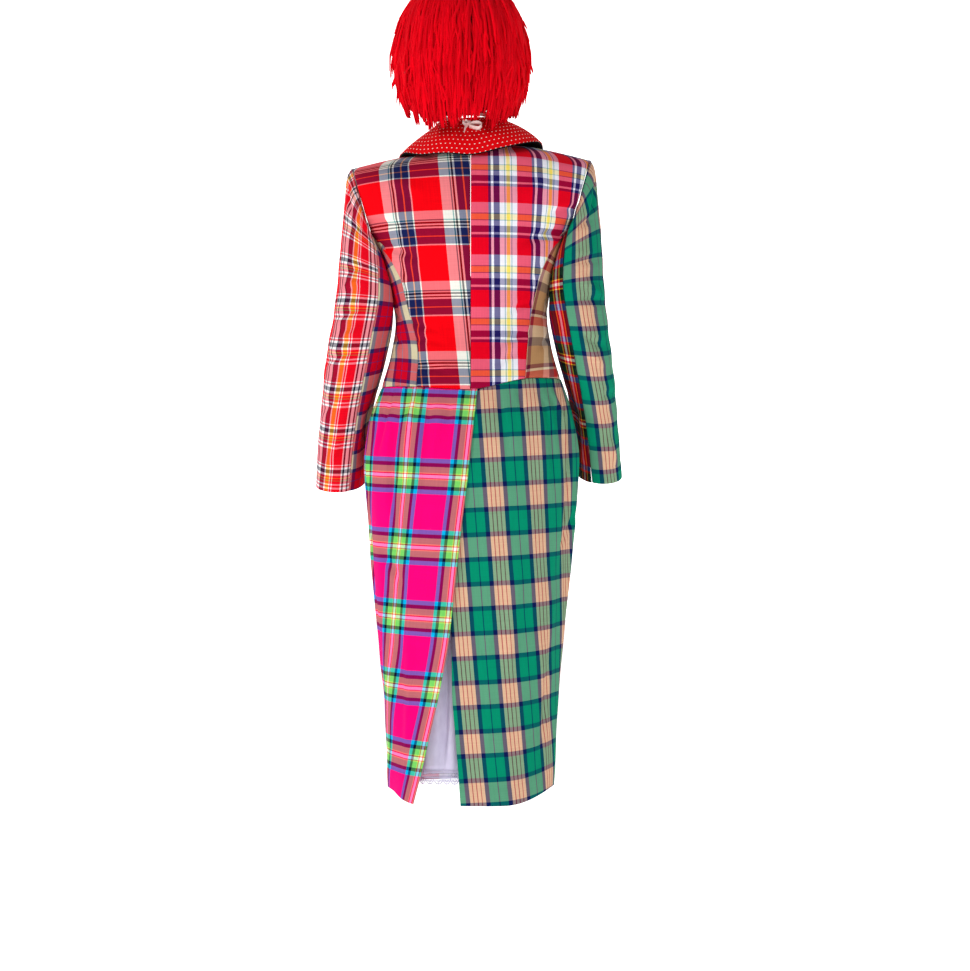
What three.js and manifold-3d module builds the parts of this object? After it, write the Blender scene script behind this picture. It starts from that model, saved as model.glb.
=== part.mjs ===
// A clown costume in the hollow shape it has when worn: a long patchwork coat with a dotted shawl collar,
// a lace-edged petticoat, a yarn wig and a ribbon tied round the neck.
// Millimetres, +Z up. The wearer's back faces +Y and the wearer's left side is at +X.
// The origin is where the neck passes through the coat, level with the inner ends of the shoulder seams.
import * as THREE from "three";
import { mergeVertices } from "three/addons/utils/BufferGeometryUtils.js";
import Module from "manifold-3d";

const wasm = await Module();
wasm.setup();

// ---- Driving sizes ----
const CLOTH = 1.5; // thickness of the coat's cotton
const COLLAR_CLOTH = 1.8; // collar with its stiffening
const FELT = 0.8; // under collar
const COTTON = 1.0; // petticoat
const SEAM = 0.6; // free space between neighbouring pieces
const LAP = 3.2; // how far an underlap lies inside the panel that covers it
const WAIST = -421; // height of the seam between bodice and skirt
const HEM_BACK = -1148; // height of the hem at the centre back
const HEM_SIDE = { left: -1125, right: -1122 }; // and at the sides and front
const NECK_X = 78; // half width of the neckline
const NECK_BACK = 62; // how far the neckline reaches behind the origin
const SHOULDER_TOP = 2; // height of the shoulder seam at the neck
const SHOULDER_X = 211; // half width over the shoulder tips
const SHOULDER_DROP = 35; // fall of the shoulder seam from neck to tip
const SLOPE_POWER = 1.6; // how the fall grows towards the tip
const BREAK = -230; // height where the lapels meet
const FRONT_LAP_X = 14; // overlap of the fronts past the centre
const JUNCTION = -150; // height where the back panel seam leaves the armhole
const ARMHOLE_BLEND = 65; // how far below the armhole its shape still shows
const UNDERARM = -175; // height of the armhole's lowest point
const RIGHT_LIFT = 15; // how much higher the coat sits on the wearer's right shoulder, waist and sleeve
const WAIST_DIP = 7; // how far the waist seam hangs down at the centre back

// The coat's outer surface, one row for each height at the centre back. drop is how much lower the row is at
// the side; halfWidth, back and front are its reach from the axis; a power of 2 makes it an ellipse.
const BODICE = [
  { height: -421, drop: 0, halfWidth: 158.5, back: 113, backPower: 2.2, front: 114, frontPower: 2.2 },
  { height: -360, drop: 0, halfWidth: 141, back: 102, backPower: 2.2, front: 106, frontPower: 2.2 },
  { height: -310, drop: 0, halfWidth: 134, back: 97, backPower: 2.2, front: 108, frontPower: 2.2 },
  { height: -250, drop: 0, halfWidth: 143, back: 104, backPower: 2.2, front: 126, frontPower: 2.25 },
  { height: -205, drop: 0, halfWidth: 158, back: 112, backPower: 2.25, front: 140, frontPower: 2.3 },
  { height: -175, drop: 0, halfWidth: 169, back: 115, backPower: 2.25, front: 138, frontPower: 2.2 },
  { height: -140, drop: 4, halfWidth: 186, back: 116, backPower: 2.25, front: 127, frontPower: 2.1 },
  { height: -100, drop: 8, halfWidth: 201, back: 112, backPower: 2.2, front: 111, frontPower: 2.0 },
  { height: -68, drop: 14, halfWidth: 207, back: 105, backPower: 2.15, front: 97, frontPower: 1.9 },
  { height: -38, drop: 22, halfWidth: 211, back: 94, backPower: 2.0, front: 84, frontPower: 1.7 },
  { height: -18, drop: 27, halfWidth: 212, back: 82, backPower: 1.6, front: 74, frontPower: 1.35 },
  { height: -6, drop: 32, halfWidth: 211, back: 72, backPower: 1.1, front: 66, frontPower: 0.95 },
  { height: 2, drop: 35, halfWidth: 211, back: 62, backPower: 0.9, front: 60, frontPower: 0.9 },
];
const SKIRT = [
  { height: -1160, drop: 0, halfWidth: 145, back: 103, backPower: 2.2, front: 104, frontPower: 2.2 },
  { height: -1050, drop: 0, halfWidth: 150, back: 107, backPower: 2.2, front: 107, frontPower: 2.2 },
  { height: -973, drop: 0, halfWidth: 154, back: 112, backPower: 2.2, front: 110, frontPower: 2.2 },
  { height: -830, drop: 0, halfWidth: 168, back: 122, backPower: 2.2, front: 116, frontPower: 2.2 },
  { height: -665, drop: 0, halfWidth: 180, back: 134, backPower: 2.2, front: 121, frontPower: 2.2 },
  { height: -557, drop: 0, halfWidth: 188, back: 138, backPower: 2.2, front: 123, frontPower: 2.2 },
  { height: -490, drop: 0, halfWidth: 182, back: 132, backPower: 2.2, front: 122, frontPower: 2.2 },
  { height: -421, drop: 0, halfWidth: 158.5, back: 113, backPower: 2.2, front: 114, frontPower: 2.2 },
];
// The seam between back panel and side panel, as an angle from the centre back.
const PRINCESS_SEAM = [
  { height: -421, left: 36.5, right: 36.5 },
  { height: -355, left: 41.6, right: 45.5 },
  { height: -286, left: 53.6, right: 54.5 },
  { height: -221, left: 58, right: 59 },
  { height: -178, left: 61, right: 61 },
  { height: -150, left: 67, right: 67 },
];
// The free edges of the back vent, as distances from the centre back: left lies over right.
const VENT_EDGES = [
  { height: -1150, left: 88, right: 18 },
  { height: -1093, left: 77, right: 22 },
  { height: -1032, left: 66, right: 27 },
  { height: -948, left: 50, right: 33 },
  { height: -864, left: 36, right: 34 },
  { height: -747, left: 24, right: 37 },
  { height: -663, left: 15, right: 37 },
  { height: -590, left: 6, right: 34 },
  { height: -531, left: 0, right: 28 },
  { height: -421, left: -12, right: 18 },
];
const VENT_LIFT = 16; // how far the left edge stands out at the hem
// The largest folds of the skirt: each runs from the top angle to the bottom angle.
const SKIRT_FOLDS = {
  skirt_back_left: [
    { topAngle: 26, bottomAngle: 44, top: -425, bottom: -900, reach: 20, depth: 4 },
    { topAngle: 58, bottomAngle: 66, top: -430, bottom: -1100, reach: 26, depth: 5 },
  ],
  skirt_back_right: [
    { topAngle: 40, bottomAngle: 62, top: -425, bottom: -760, reach: 20, depth: 4 },
    { topAngle: 66, bottomAngle: 70, top: -600, bottom: -1110, reach: 26, depth: -5 },
  ],
  skirt_front_left: [{ topAngle: 120, bottomAngle: 112, top: -430, bottom: -1100, reach: 28, depth: 5 }],
  skirt_front_right: [{ topAngle: 124, bottomAngle: 114, top: -430, bottom: -1050, reach: 28, depth: 5 }],
};
// The armhole is a flat ellipse, from the shoulder tip down to the underarm.
const ARMHOLE = { topX: 211, topZ: -33, bottomX: 169, bottomZ: -175, back: 44, front: 50 };
// The sleeve's sections from the armhole to the cuff: the outer and inner points, the section's centre in
// depth, its reach to the back and front, and how much its back hangs below its middle.
const SLEEVE = [
  { outerX: 211, outerZ: -33, innerX: 169, innerZ: -175, middleY: 0, back: 44, front: 50, tilt: 0 },
  { outerX: 219, outerZ: -54, innerX: 160, innerZ: -181, middleY: 0, back: 52, front: 55, tilt: 0 },
  { outerX: 223, outerZ: -90, innerX: 148, innerZ: -190, middleY: 0, back: 57, front: 59, tilt: 0 },
  { outerX: 230, outerZ: -160, innerX: 132, innerZ: -215, middleY: 2, back: 62, front: 62, tilt: 0 },
  { outerX: 235, outerZ: -248, innerX: 126, innerZ: -262, middleY: 6, back: 60, front: 60, tilt: 0 },
  { outerX: 243, outerZ: -330, innerX: 139, innerZ: -328, middleY: 6, back: 57, front: 57, tilt: 8 },
  { outerX: 250, outerZ: -390, innerX: 152, innerZ: -382, middleY: -3, back: 54, front: 54, tilt: 13 },
  { outerX: 257, outerZ: -448, innerX: 167, innerZ: -440, middleY: -22, back: 51, front: 51, tilt: 16 },
  { outerX: 264, outerZ: -515, innerX: 180, innerZ: -508, middleY: -44, back: 48, front: 48, tilt: 16 },
  { outerX: 271, outerZ: -592, innerX: 191, innerZ: -588, middleY: -70, back: 45, front: 45, tilt: 16 },
];
const LEFT_SPREAD = 9; // how much further out the left sleeve hangs from the elbow down
const SLEEVE_CLEARANCE = 3.5; // between sleeve and body where they press together
const SKIRT_CLEARANCE = 9; // and beside the skirt's folds
// The two seams of the sleeve, as angles round it: 0 outer, 90 back, 180 against the body.
const SLEEVE_SEAMS = [
  { section: 0, back: 128, front: 232 },
  { section: 3, back: 112, front: 240 },
  { section: 6, back: 112, front: 244 },
  { section: 9, back: 114, front: 246 },
];
// The collar from the centre back to the break, for the wearer's left: the seam with the coat, the roll
// line, and the outer edge.
const COLLAR = [
  { seam: [0, 64, 5], roll: [0, 54, 49], edge: [0, 93, -19] },
  { seam: [32, 58, 5], roll: [27, 48, 48], edge: [46, 88, -15] },
  { seam: [60, 40, 5.5], roll: [50, 32, 46], edge: [88, 67, -10] },
  { seam: [78, 6, 6], roll: [61, 2, 42], edge: [119, 26, -3] },
  { seam: [77, -32, -3], roll: [63, -34, 29], edge: [129, -24, -9] },
  { seam: [71, -64, -20], roll: [63, -67, 3], edge: [128, -67, -42] },
  { seam: [61, -89, -46], roll: [58, -96, -35], edge: [118, -91, -86] },
  { seam: [45, -113, -96], roll: [45, -120, -88], edge: [98, -119, -134] },
  { seam: [27, -136, -150], roll: [28, -142, -146], edge: [68, -142, -182] },
  { seam: [9, -146, -202], roll: [11, -151, -200], edge: [28, -151, -224] },
];
const ROLL_DEPTH = 5; // how far the rounded roll reaches down on each side
const FALL_BULGE = 4; // the fall is arched outwards by this much
const BUTTON_HEIGHTS = [-262, -328, -394];
const BUTTON_RADIUS = 11;
const BUTTON_SHANK = 1.5; // the buttons stand off the cloth by this much

// The petticoat's surface, and the wig's, in the same form as the coat's.
const PETTICOAT = [
  { height: -1140, halfWidth: 130, back: 90, front: 88 },
  { height: -1105, halfWidth: 130, back: 91, front: 90 },
  { height: -900, halfWidth: 137, back: 100, front: 98 },
  { height: -650, halfWidth: 160, back: 118, front: 108 },
  { height: -540, halfWidth: 168, back: 122, front: 110 },
  { height: -430, halfWidth: 143, back: 101, front: 102 },
  { height: -360, halfWidth: 122, back: 88, front: 92 },
  { height: -320, halfWidth: 118, back: 84, front: 90 },
];
const BAND_TOP = -325; // petticoat waistband
const BAND_BOTTOM = -352;
const LACE_TOP = -1088;
const LACE_BOTTOM = -1113;
const WAVE_COUNT = 11; // soft waves round the petticoat's hem
const WAVE_DEPTH = 3;

const WIG = { x: 17, y: -8, yarn: 24, cap: 1.5, capBottom: 130 };
const WIG_SHAPE = [
  { height: 28, halfWidth: 90, back: 120, front: 104 },
  { height: 67, halfWidth: 101, back: 126, front: 112 },
  { height: 103, halfWidth: 113, back: 131, front: 118 },
  { height: 145, halfWidth: 120, back: 134, front: 122 },
  { height: 184, halfWidth: 118, back: 132, front: 121 },
  { height: 224, halfWidth: 111, back: 124, front: 115 },
  { height: 265, halfWidth: 92, back: 104, front: 99 },
  { height: 295, halfWidth: 64, back: 73, front: 71 },
  { height: 310, halfWidth: 34, back: 39, front: 38 },
  { height: 315, halfWidth: 12, back: 14, front: 13 },
];
const YARN_BOTTOM = 28; // lowest strands, at the back
const CROWN_BOTTOM = 180; // height between the crown's rows of yarn and the rows that fall round the sides
const YARN_SIDE_RISE = 34; // how much higher they end beside the neck
const FACE = { halfWidth: 66, top: 205, back: -52 }; // the opening in the wig's front

const NECK_BAND = { x: 6, halfWidth: 53, back: 47, front: 51, bottom: 54, height: 9, thickness: 1 };
const BOW = { x: 3, y: 63, z: 44, knot: 5, width: 8, thickness: 1.2, loop: 22, tail: 20 };

// ---- Tables and points ----
const radians = (degrees) => (degrees * Math.PI) / 180;
const smooth = (t) => {
  const c = Math.min(1, Math.max(0, t));
  return c * c * (3 - 2 * c);
};
const mix = (a, b, t) => a + (b - a) * t;

// One column of a table at x: a curve through the rows that never overshoots them. Rows rise in key.
function column(rows, key, name, x) {
  const last = rows.length - 1;
  const value = Math.min(rows[last][key], Math.max(rows[0][key], x));
  let i = 0;
  while (i < last - 1 && rows[i + 1][key] < value) i += 1;
  const slope = (k) => (rows[k + 1][name] - rows[k][name]) / (rows[k + 1][key] - rows[k][key]);
  const tangent = (k) => {
    if (k === 0) return slope(0);
    if (k === last) return slope(last - 1);
    const [a, b] = [slope(k - 1), slope(k)];
    return a * b > 0 ? (2 * a * b) / (a + b) : 0;
  };
  const span = rows[i + 1][key] - rows[i][key];
  const t = (value - rows[i][key]) / span;
  const [t2, t3] = [t * t, t * t * t];
  return (
    (2 * t3 - 3 * t2 + 1) * rows[i][name] +
    (t3 - 2 * t2 + t) * span * tangent(i) +
    (3 * t2 - 2 * t3) * rows[i + 1][name] +
    (t3 - t2) * span * tangent(i + 1)
  );
}

// Reach along Y of a rounded section at the share s of its half width.
const reach = (depth, power, s) => depth * Math.max(0, 1 - Math.abs(s) ** power) ** (1 / power);

// A point on the coat: angle 0 is the centre back, 90 the side and 180 the centre front. side is 1 for the
// wearer's left and -1 for the right; an angle under 0 or over 180 passes the centre.
function onCoat(side, angle, height) {
  const rows = height > WAIST ? BODICE : SKIRT;
  const at = (name) => column(rows, "height", name, height);
  const s = Math.sin(radians(angle));
  const isBack = angle <= 90;
  const y = isBack ? reach(at("back"), at("backPower"), s) : -reach(at("front"), at("frontPower"), s);
  return new THREE.Vector3(side * at("halfWidth") * s, y, height - at("drop") * Math.abs(s) ** SLOPE_POWER);
}

// The angle at which the coat is x to the side at this height, at the back or at the front.
function angleAt(x, height, isBack) {
  const width = column(height > WAIST ? BODICE : SKIRT, "height", "halfWidth", height);
  const angle = (Math.asin(Math.max(-1, Math.min(1, x / width))) * 180) / Math.PI;
  return isBack ? angle : 180 - angle;
}

// A point of the armhole: angle 0 is the shoulder tip, 90 the back, 180 the underarm, 270 the front.
function onArmhole(side, angle) {
  const a = radians(angle);
  const { topX, topZ, bottomX, bottomZ, back, front } = ARMHOLE;
  const y = Math.sin(a) * (Math.sin(a) > 0 ? back : front);
  return new THREE.Vector3(
    side * ((topX + bottomX) / 2 + ((topX - bottomX) / 2) * Math.cos(a)),
    y,
    (topZ + bottomZ) / 2 + ((topZ - bottomZ) / 2) * Math.cos(a),
  );
}

// The armhole's point that meets the row of this height, at the back or at the front.
function armholeAt(side, height, isBack) {
  const z = height - column(BODICE, "height", "drop", height);
  const share = (z - (ARMHOLE.topZ + ARMHOLE.bottomZ) / 2) / ((ARMHOLE.topZ - ARMHOLE.bottomZ) / 2);
  const angle = (Math.acos(Math.max(-1, Math.min(1, share))) * 180) / Math.PI;
  return onArmhole(side, isBack ? angle : 360 - angle);
}

// A point of the shoulder seam, or behind NECK_X of the back neckline.
function onShoulder(side, x) {
  const y = x < NECK_X ? NECK_BACK * Math.sqrt(1 - (x / NECK_X) ** 2) : 0;
  return new THREE.Vector3(side * x, y, SHOULDER_TOP - SHOULDER_DROP * (x / SHOULDER_X) ** SLOPE_POWER);
}

// ---- Walls ----
const evenly = (n, from = 0, to = 1) => Array.from({ length: n + 1 }, (_, i) => mix(from, to, i / n));

// A grid of points: one row for each v, one point for each u.
const gridOf = (us, vs, point) => vs.map((v) => us.map((u) => point(u, v)));

// Moves the grid's first or last points of each row, or its first or last row, inwards by half a seam.
function trim(grid, edges, distance = SEAM / 2) {
  const rows = grid.length - 1;
  const toward = (p, q) => p.add(q.clone().sub(p).setLength(distance));
  for (const row of grid) {
    const last = row.length - 1;
    if (edges.includes("start")) toward(row[0], row[1]);
    if (edges.includes("end")) toward(row[last], row[last - 1]);
  }
  if (edges.includes("bottom")) grid[0].forEach((p, i) => toward(p, grid[1][i]));
  if (edges.includes("top")) grid[rows].forEach((p, i) => toward(p, grid[rows - 1][i]));
  return grid;
}

// Unit normals of a grid, turned to the side that outward points to. A ring joins its last column to its first.
function normalsOf(grid, outward, ring) {
  const rows = grid.length;
  const n = grid[0].length;
  const at = (j, i) => grid[Math.min(rows - 1, Math.max(0, j))][ring ? (i + n) % n : Math.min(n - 1, Math.max(0, i))];
  return grid.map((row, j) =>
    row.map((p, i) => {
      const along = at(j, i + 1).clone().sub(at(j, i - 1));
      const up = at(j + 1, i).clone().sub(at(j - 1, i));
      const normal = along.cross(up).normalize();
      return normal.dot(outward(p)) < 0 ? normal.negate() : normal;
    }),
  );
}

// A closed wall between two grids of the same shape.
function between(outer, inner, ring) {
  const rows = outer.length;
  const n = outer[0].length;
  const flat = [...outer.flat(), ...inner.flat()];
  const positions = new Float32Array(flat.flatMap((p) => [p.x, p.y, p.z]));
  const id = (layer, j, i) => layer * rows * n + j * n + (i % n);
  const faces = [];
  const quad = (a, b, c, d) => faces.push(a, b, c, a, c, d);
  const across = ring ? n : n - 1;
  for (let j = 0; j < rows - 1; j += 1)
    for (let i = 0; i < across; i += 1) {
      quad(id(0, j, i), id(0, j, i + 1), id(0, j + 1, i + 1), id(0, j + 1, i));
      quad(id(1, j, i), id(1, j + 1, i), id(1, j + 1, i + 1), id(1, j, i + 1));
    }
  for (let i = 0; i < across; i += 1) {
    quad(id(0, 0, i + 1), id(0, 0, i), id(1, 0, i), id(1, 0, i + 1));
    quad(id(0, rows - 1, i), id(0, rows - 1, i + 1), id(1, rows - 1, i + 1), id(1, rows - 1, i));
  }
  if (!ring)
    for (let j = 0; j < rows - 1; j += 1) {
      quad(id(0, j, 0), id(0, j + 1, 0), id(1, j + 1, 0), id(1, j, 0));
      quad(id(0, j + 1, n - 1), id(0, j, n - 1), id(1, j, n - 1), id(1, j + 1, n - 1));
    }
  const geometry = new THREE.BufferGeometry();
  geometry.setAttribute("position", new THREE.BufferAttribute(positions, 3));
  geometry.setIndex(faces);
  return facingOut(geometry);
}

// Turns every face round if the closed geometry is inside out.
function facingOut(geometry) {
  const p = geometry.getAttribute("position");
  const index = geometry.getIndex().array;
  const [a, b, c] = [new THREE.Vector3(), new THREE.Vector3(), new THREE.Vector3()];
  let volume = 0;
  for (let i = 0; i < index.length; i += 3) {
    a.fromBufferAttribute(p, index[i]);
    b.fromBufferAttribute(p, index[i + 1]);
    c.fromBufferAttribute(p, index[i + 2]);
    volume += a.dot(b.cross(c));
  }
  if (volume < 0) for (let i = 0; i < index.length; i += 3) [index[i], index[i + 1]] = [index[i + 1], index[i]];
  geometry.computeVertexNormals();
  return geometry;
}

// Cloth of this thickness behind a grid. inward may give its own direction at a point, as at a shared seam.
function cloth(grid, thickness, outward, inward = () => null, ring = false) {
  const normals = normalsOf(grid, outward, ring);
  const inner = grid.map((row, j) =>
    row.map((p, i) => {
      const way = inward(p, j, i, normals[j][i]) ?? normals[j][i].clone().negate();
      return p.clone().addScaledVector(way, thickness);
    }),
  );
  return between(grid, inner, ring);
}

// ---- Materials: the plain colour of each piece ----
const fabric = (color, roughness = 0.85) => new THREE.MeshStandardMaterial({ color, roughness, metalness: 0 });
const COLOURS = {
  scarlet_plaid: fabric(0xc22a35),
  rose_plaid: fabric(0xcf4a72),
  coral_check: fabric(0xc0605a),
  tan_check: fabric(0xa9825f),
  ivory_plaid: fabric(0xc9474e),
  green_check: fabric(0x2f8f6f),
  tartan: fabric(0x9a2a33),
  magenta_plaid: fabric(0xd93a85),
  dotted_red: fabric(0xd01018),
  black_felt: fabric(0x141214, 0.95),
  white_cotton: fabric(0xe9e6ee),
  lace: fabric(0xf0edf2),
  red_button: fabric(0xb50d16, 0.4),
  red_yarn: fabric(0xe60c17, 0.9),
  ribbon: fabric(0xe8c3bd, 0.5),
};

const costume = new THREE.Group();

// How much higher the coat sits at a point: raised on the right, and lowered at the middle of the back waist.
// Below the waist the skirt loses the lift, while the sleeve keeps it down to the cuff.
function liftAt(x, y, z, isSkirt) {
  const lift = RIGHT_LIFT * smooth((10 - x) / 120) * (isSkirt ? smooth((z + 800) / 379) : 1);
  const dip = smooth(1 - Math.abs(x) / 140) * smooth(y / 60) * smooth((z + 700) / 279) * smooth((-160 - z) / 261);
  return lift - WAIST_DIP * dip;
}
const COAT_PIECES = /^(back|side|front|collar|under|skirt|sleeve)/;

function add(name, geometry, colour, position = new THREE.Vector3()) {
  const points = geometry.getAttribute("position");
  if (COAT_PIECES.test(name))
    for (let i = 0; i < points.count; i += 1) {
      const [x, y, z] = [points.getX(i), points.getY(i), points.getZ(i)];
      points.setZ(i, z + liftAt(x, y, z, name.startsWith("skirt")));
    }
  const mesh = new THREE.Mesh(geometry, COLOURS[colour]);
  mesh.name = name;
  mesh.position.copy(position);
  costume.add(mesh);
}

// ---- Bodice ----
const fromAxis = (p) => new THREE.Vector3(p.x, p.y * 1.5, 60);
const UPPER_ROWS = [-122, -95, -68, -42, -22, -8];
const LOWER_ROWS = [WAIST, -375, -310, -265, -220, -180, JUNCTION];
const LOWER_SHARES = LOWER_ROWS.map((height) => (height - WAIST) / (JUNCTION - WAIST));
const SIDE_SEAM_ROWS = LOWER_SHARES.map((share) => mix(WAIST, UNDERARM, share));
const BACK_COLUMNS = [0, 0.08, 0.16, 0.24, 0.42, 0.62, 0.82, 1];

// Towards the middle of the armhole, for the edges that meet there.
function intoArmhole(side, p) {
  const centre = onArmhole(side, 90).add(onArmhole(side, 270)).multiplyScalar(0.5);
  return centre.sub(p).normalize();
}

// How much of the armhole's shape shows at this height under it.
const blendAt = (height, top) => smooth((height - top + ARMHOLE_BLEND) / ARMHOLE_BLEND);

// The way through the cloth at a seam, the same for both panels: level, towards the axis.
const levelIn = (p) => new THREE.Vector3(-p.x, -p.y, 0).normalize();
const straightIn = (normal) => new THREE.Vector3(0, -normal.y, -normal.z).normalize(); // at a centre seam
const sideIn = (normal) => new THREE.Vector3(-normal.x, 0, -normal.z).normalize(); // at a side seam

// Moves a row's point so that the row ends on the armhole: the nearer the armhole, the more.
function toArmhole(side, p, share, height, isBack, edgeAngle) {
  const off = armholeAt(side, height, isBack).sub(onCoat(side, edgeAngle, height));
  return p.addScaledVector(off, smooth((share - 0.4) / 0.6));
}

const seamAngle = (side, height) => column(PRINCESS_SEAM, "height", side > 0 ? "left" : "right", height);

function backPanel(side) {
  const top = Infinity;
  const grid = gridOf(BACK_COLUMNS, [...LOWER_ROWS, ...UPPER_ROWS, top], (u, height) => {
    if (height === top) return onShoulder(side, SHOULDER_X * Math.sin(radians(90 * u)));
    if (height <= JUNCTION) {
      const [seam, topSeam] = [height, JUNCTION].map((h) => seamAngle(side, h));
      const off = armholeAt(side, JUNCTION, true).sub(onCoat(side, topSeam, JUNCTION));
      const share = smooth((u - 0.4) / 0.6) * blendAt(height, JUNCTION);
      return onCoat(side, u * seam, height).addScaledVector(off, share);
    }
    const edge = angleAt(Math.abs(armholeAt(side, height, true).x), height, true);
    return toArmhole(side, onCoat(side, u * edge, height), u, height, true, edge);
  });
  const junctionRow = LOWER_ROWS.length - 1;
  const topRow = grid.length - 1;
  return cloth(trim(grid, ["start", "end", "bottom", "top"]), CLOTH, fromAxis, (p, j, i, normal) => {
    if (i === 0) return straightIn(normal);
    if (j === topRow && i >= 3) return new THREE.Vector3(0, 0, -1);
    if (i < BACK_COLUMNS.length - 1) return null;
    return j >= junctionRow ? intoArmhole(side, p) : levelIn(p);
  });
}

function sidePanel(side) {
  const start = armholeAt(side, JUNCTION, true);
  const { topZ, bottomZ } = ARMHOLE;
  const startAngle = (Math.acos((start.z - (topZ + bottomZ) / 2) / ((topZ - bottomZ) / 2)) * 180) / Math.PI;
  const columns = evenly(4);
  const grid = gridOf(columns, LOWER_SHARES, (u, v) => {
    const edge = onArmhole(side, mix(startAngle, 180, u));
    const top = mix(JUNCTION, UNDERARM, u);
    const height = mix(WAIST, top, v);
    const [seam, topSeam] = [height, JUNCTION].map((h) => seamAngle(side, h));
    const off = edge.sub(onCoat(side, mix(topSeam, 90, u), top));
    return onCoat(side, mix(seam, 90, u), height).addScaledVector(off, blendAt(height, top));
  });
  const topRow = grid.length - 1;
  return cloth(trim(grid, ["start", "end", "bottom", "top"]), CLOTH, fromAxis, (p, j, i, normal) => {
    if (j === topRow) return intoArmhole(side, p);
    if (i === 0) return levelIn(p);
    return i === columns.length - 1 ? sideIn(normal) : null;
  });
}

// How far the front edge is from the centre: past it below the break, out to the neck above.
function frontEdge(height) {
  if (height <= BREAK) return -FRONT_LAP_X;
  const t = (height - BREAK) / (SHOULDER_TOP - BREAK);
  return mix(0, NECK_X, t) - FRONT_LAP_X * (1 - smooth(t * 8));
}

function frontPanel(side) {
  const top = Infinity;
  const columns = [0, 0.08, 0.2, 0.36, 0.52, 0.68, 0.84, 1];
  const rows = [...SIDE_SEAM_ROWS, ...UPPER_ROWS, top];
  const grid = gridOf(columns, rows, (u, height) => {
    if (height === top) return onShoulder(side, mix(NECK_X, SHOULDER_X, u));
    const first = angleAt(frontEdge(height), height, false);
    if (height <= UNDERARM) return onCoat(side, mix(first, 90, u), height);
    const edge = angleAt(Math.abs(armholeAt(side, height, false).x), height, false);
    return toArmhole(side, onCoat(side, mix(first, edge, u), height), u, height, false, edge);
  });
  if (side > 0)
    for (const row of grid) for (const p of row) if (p.z < BREAK + 40) p.y += LAP * smooth((34 - p.x) / 24);
  const topRow = grid.length - 1;
  const underarmRow = SIDE_SEAM_ROWS.length - 1;
  return cloth(trim(grid, ["start", "end", "bottom", "top"]), CLOTH, fromAxis, (p, j, i, normal) => {
    if (j === topRow) return new THREE.Vector3(0, 0, -1);
    if (i < columns.length - 1) return null;
    return j >= underarmRow ? intoArmhole(side, p) : sideIn(normal);
  });
}

add("back_left", backPanel(1), "scarlet_plaid");
add("back_right", backPanel(-1), "rose_plaid");
add("side_left", sidePanel(1), "coral_check");
add("side_right", sidePanel(-1), "tan_check");
add("front_left", frontPanel(1), "ivory_plaid");
add("front_right", frontPanel(-1), "rose_plaid");

// ---- Skirt of the coat ----
// How much higher than at the centre back the cloth of a row lies: the rows level out above the hem.
const riseAt = (side, angle, v) => {
  const atSide = (side > 0 ? HEM_SIDE.left : HEM_SIDE.right) - HEM_BACK;
  return atSide * smooth((angle - 24) / 56) * (1 - v) ** 2;
};

// How far the folds move a point of the skirt outwards.
function foldAt(folds, angle, height) {
  const width = column(SKIRT, "height", "halfWidth", height);
  return folds.reduce((sum, fold) => {
    const down = (fold.top - height) / (fold.top - fold.bottom);
    if (down < 0 || down > 1) return sum;
    const away = radians(angle - mix(fold.topAngle, fold.bottomAngle, down)) * width;
    return sum + fold.depth * Math.exp(-((away / fold.reach) ** 2)) * smooth(down * 4) * smooth((1 - down) * 3);
  }, 0);
}

// A skirt panel from its free edge to the side seam. edge gives its free edge, layer how far it lies inside.
function skirtPanel(name, side, isBack, edgeX, layer) {
  const us = [0, 0.06, ...evenly(8, 0.16, 1)];
  const vs = evenly(10);
  const grid = gridOf(us, vs, (u, v) => {
    const guess = mix(HEM_BACK, WAIST, v);
    const first = angleAt(edgeX(guess), guess, isBack);
    const angle = mix(first, 90, u);
    const height = guess + riseAt(side, angle, v);
    const p = onCoat(side, angle, height);
    const out = new THREE.Vector3(p.x, p.y, 0).normalize();
    return p.addScaledVector(out, foldAt(SKIRT_FOLDS[name], angle, height) + layer(u, v, p));
  });
  return cloth(trim(grid, ["end", "top"]), CLOTH, fromAxis, (p, j, i, normal) =>
    i === us.length - 1 ? sideIn(normal) : null,
  );
}

const ventLeft = (height) => column(VENT_EDGES, "height", "left", height);
const ventRight = (height) => -column(VENT_EDGES, "height", "right", height);
// The left back lifts away from the body towards its free edge and the hem; the right back lies under it.
const liftOfLeft = (u, v) => VENT_LIFT * (1 - v) ** 2 * smooth(1 - u * 1.6);
const sinkOfRight = (u, v, p) => -LAP * smooth((p.x + 32) / 18);
const sinkOfFront = (u, v, p) => -LAP * smooth((34 - p.x) / 24);

add("skirt_back_left", skirtPanel("skirt_back_left", 1, true, ventLeft, liftOfLeft), "magenta_plaid");
add("skirt_back_right", skirtPanel("skirt_back_right", -1, true, ventRight, sinkOfRight), "green_check");
add("skirt_front_left", skirtPanel("skirt_front_left", 1, false, frontEdge, sinkOfFront), "scarlet_plaid");
add("skirt_front_right", skirtPanel("skirt_front_right", -1, false, frontEdge, () => 0), "tartan");

// ---- Sleeves ----
const sleeveRows = SLEEVE.map((row, section) => ({ section, ...row }));

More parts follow.
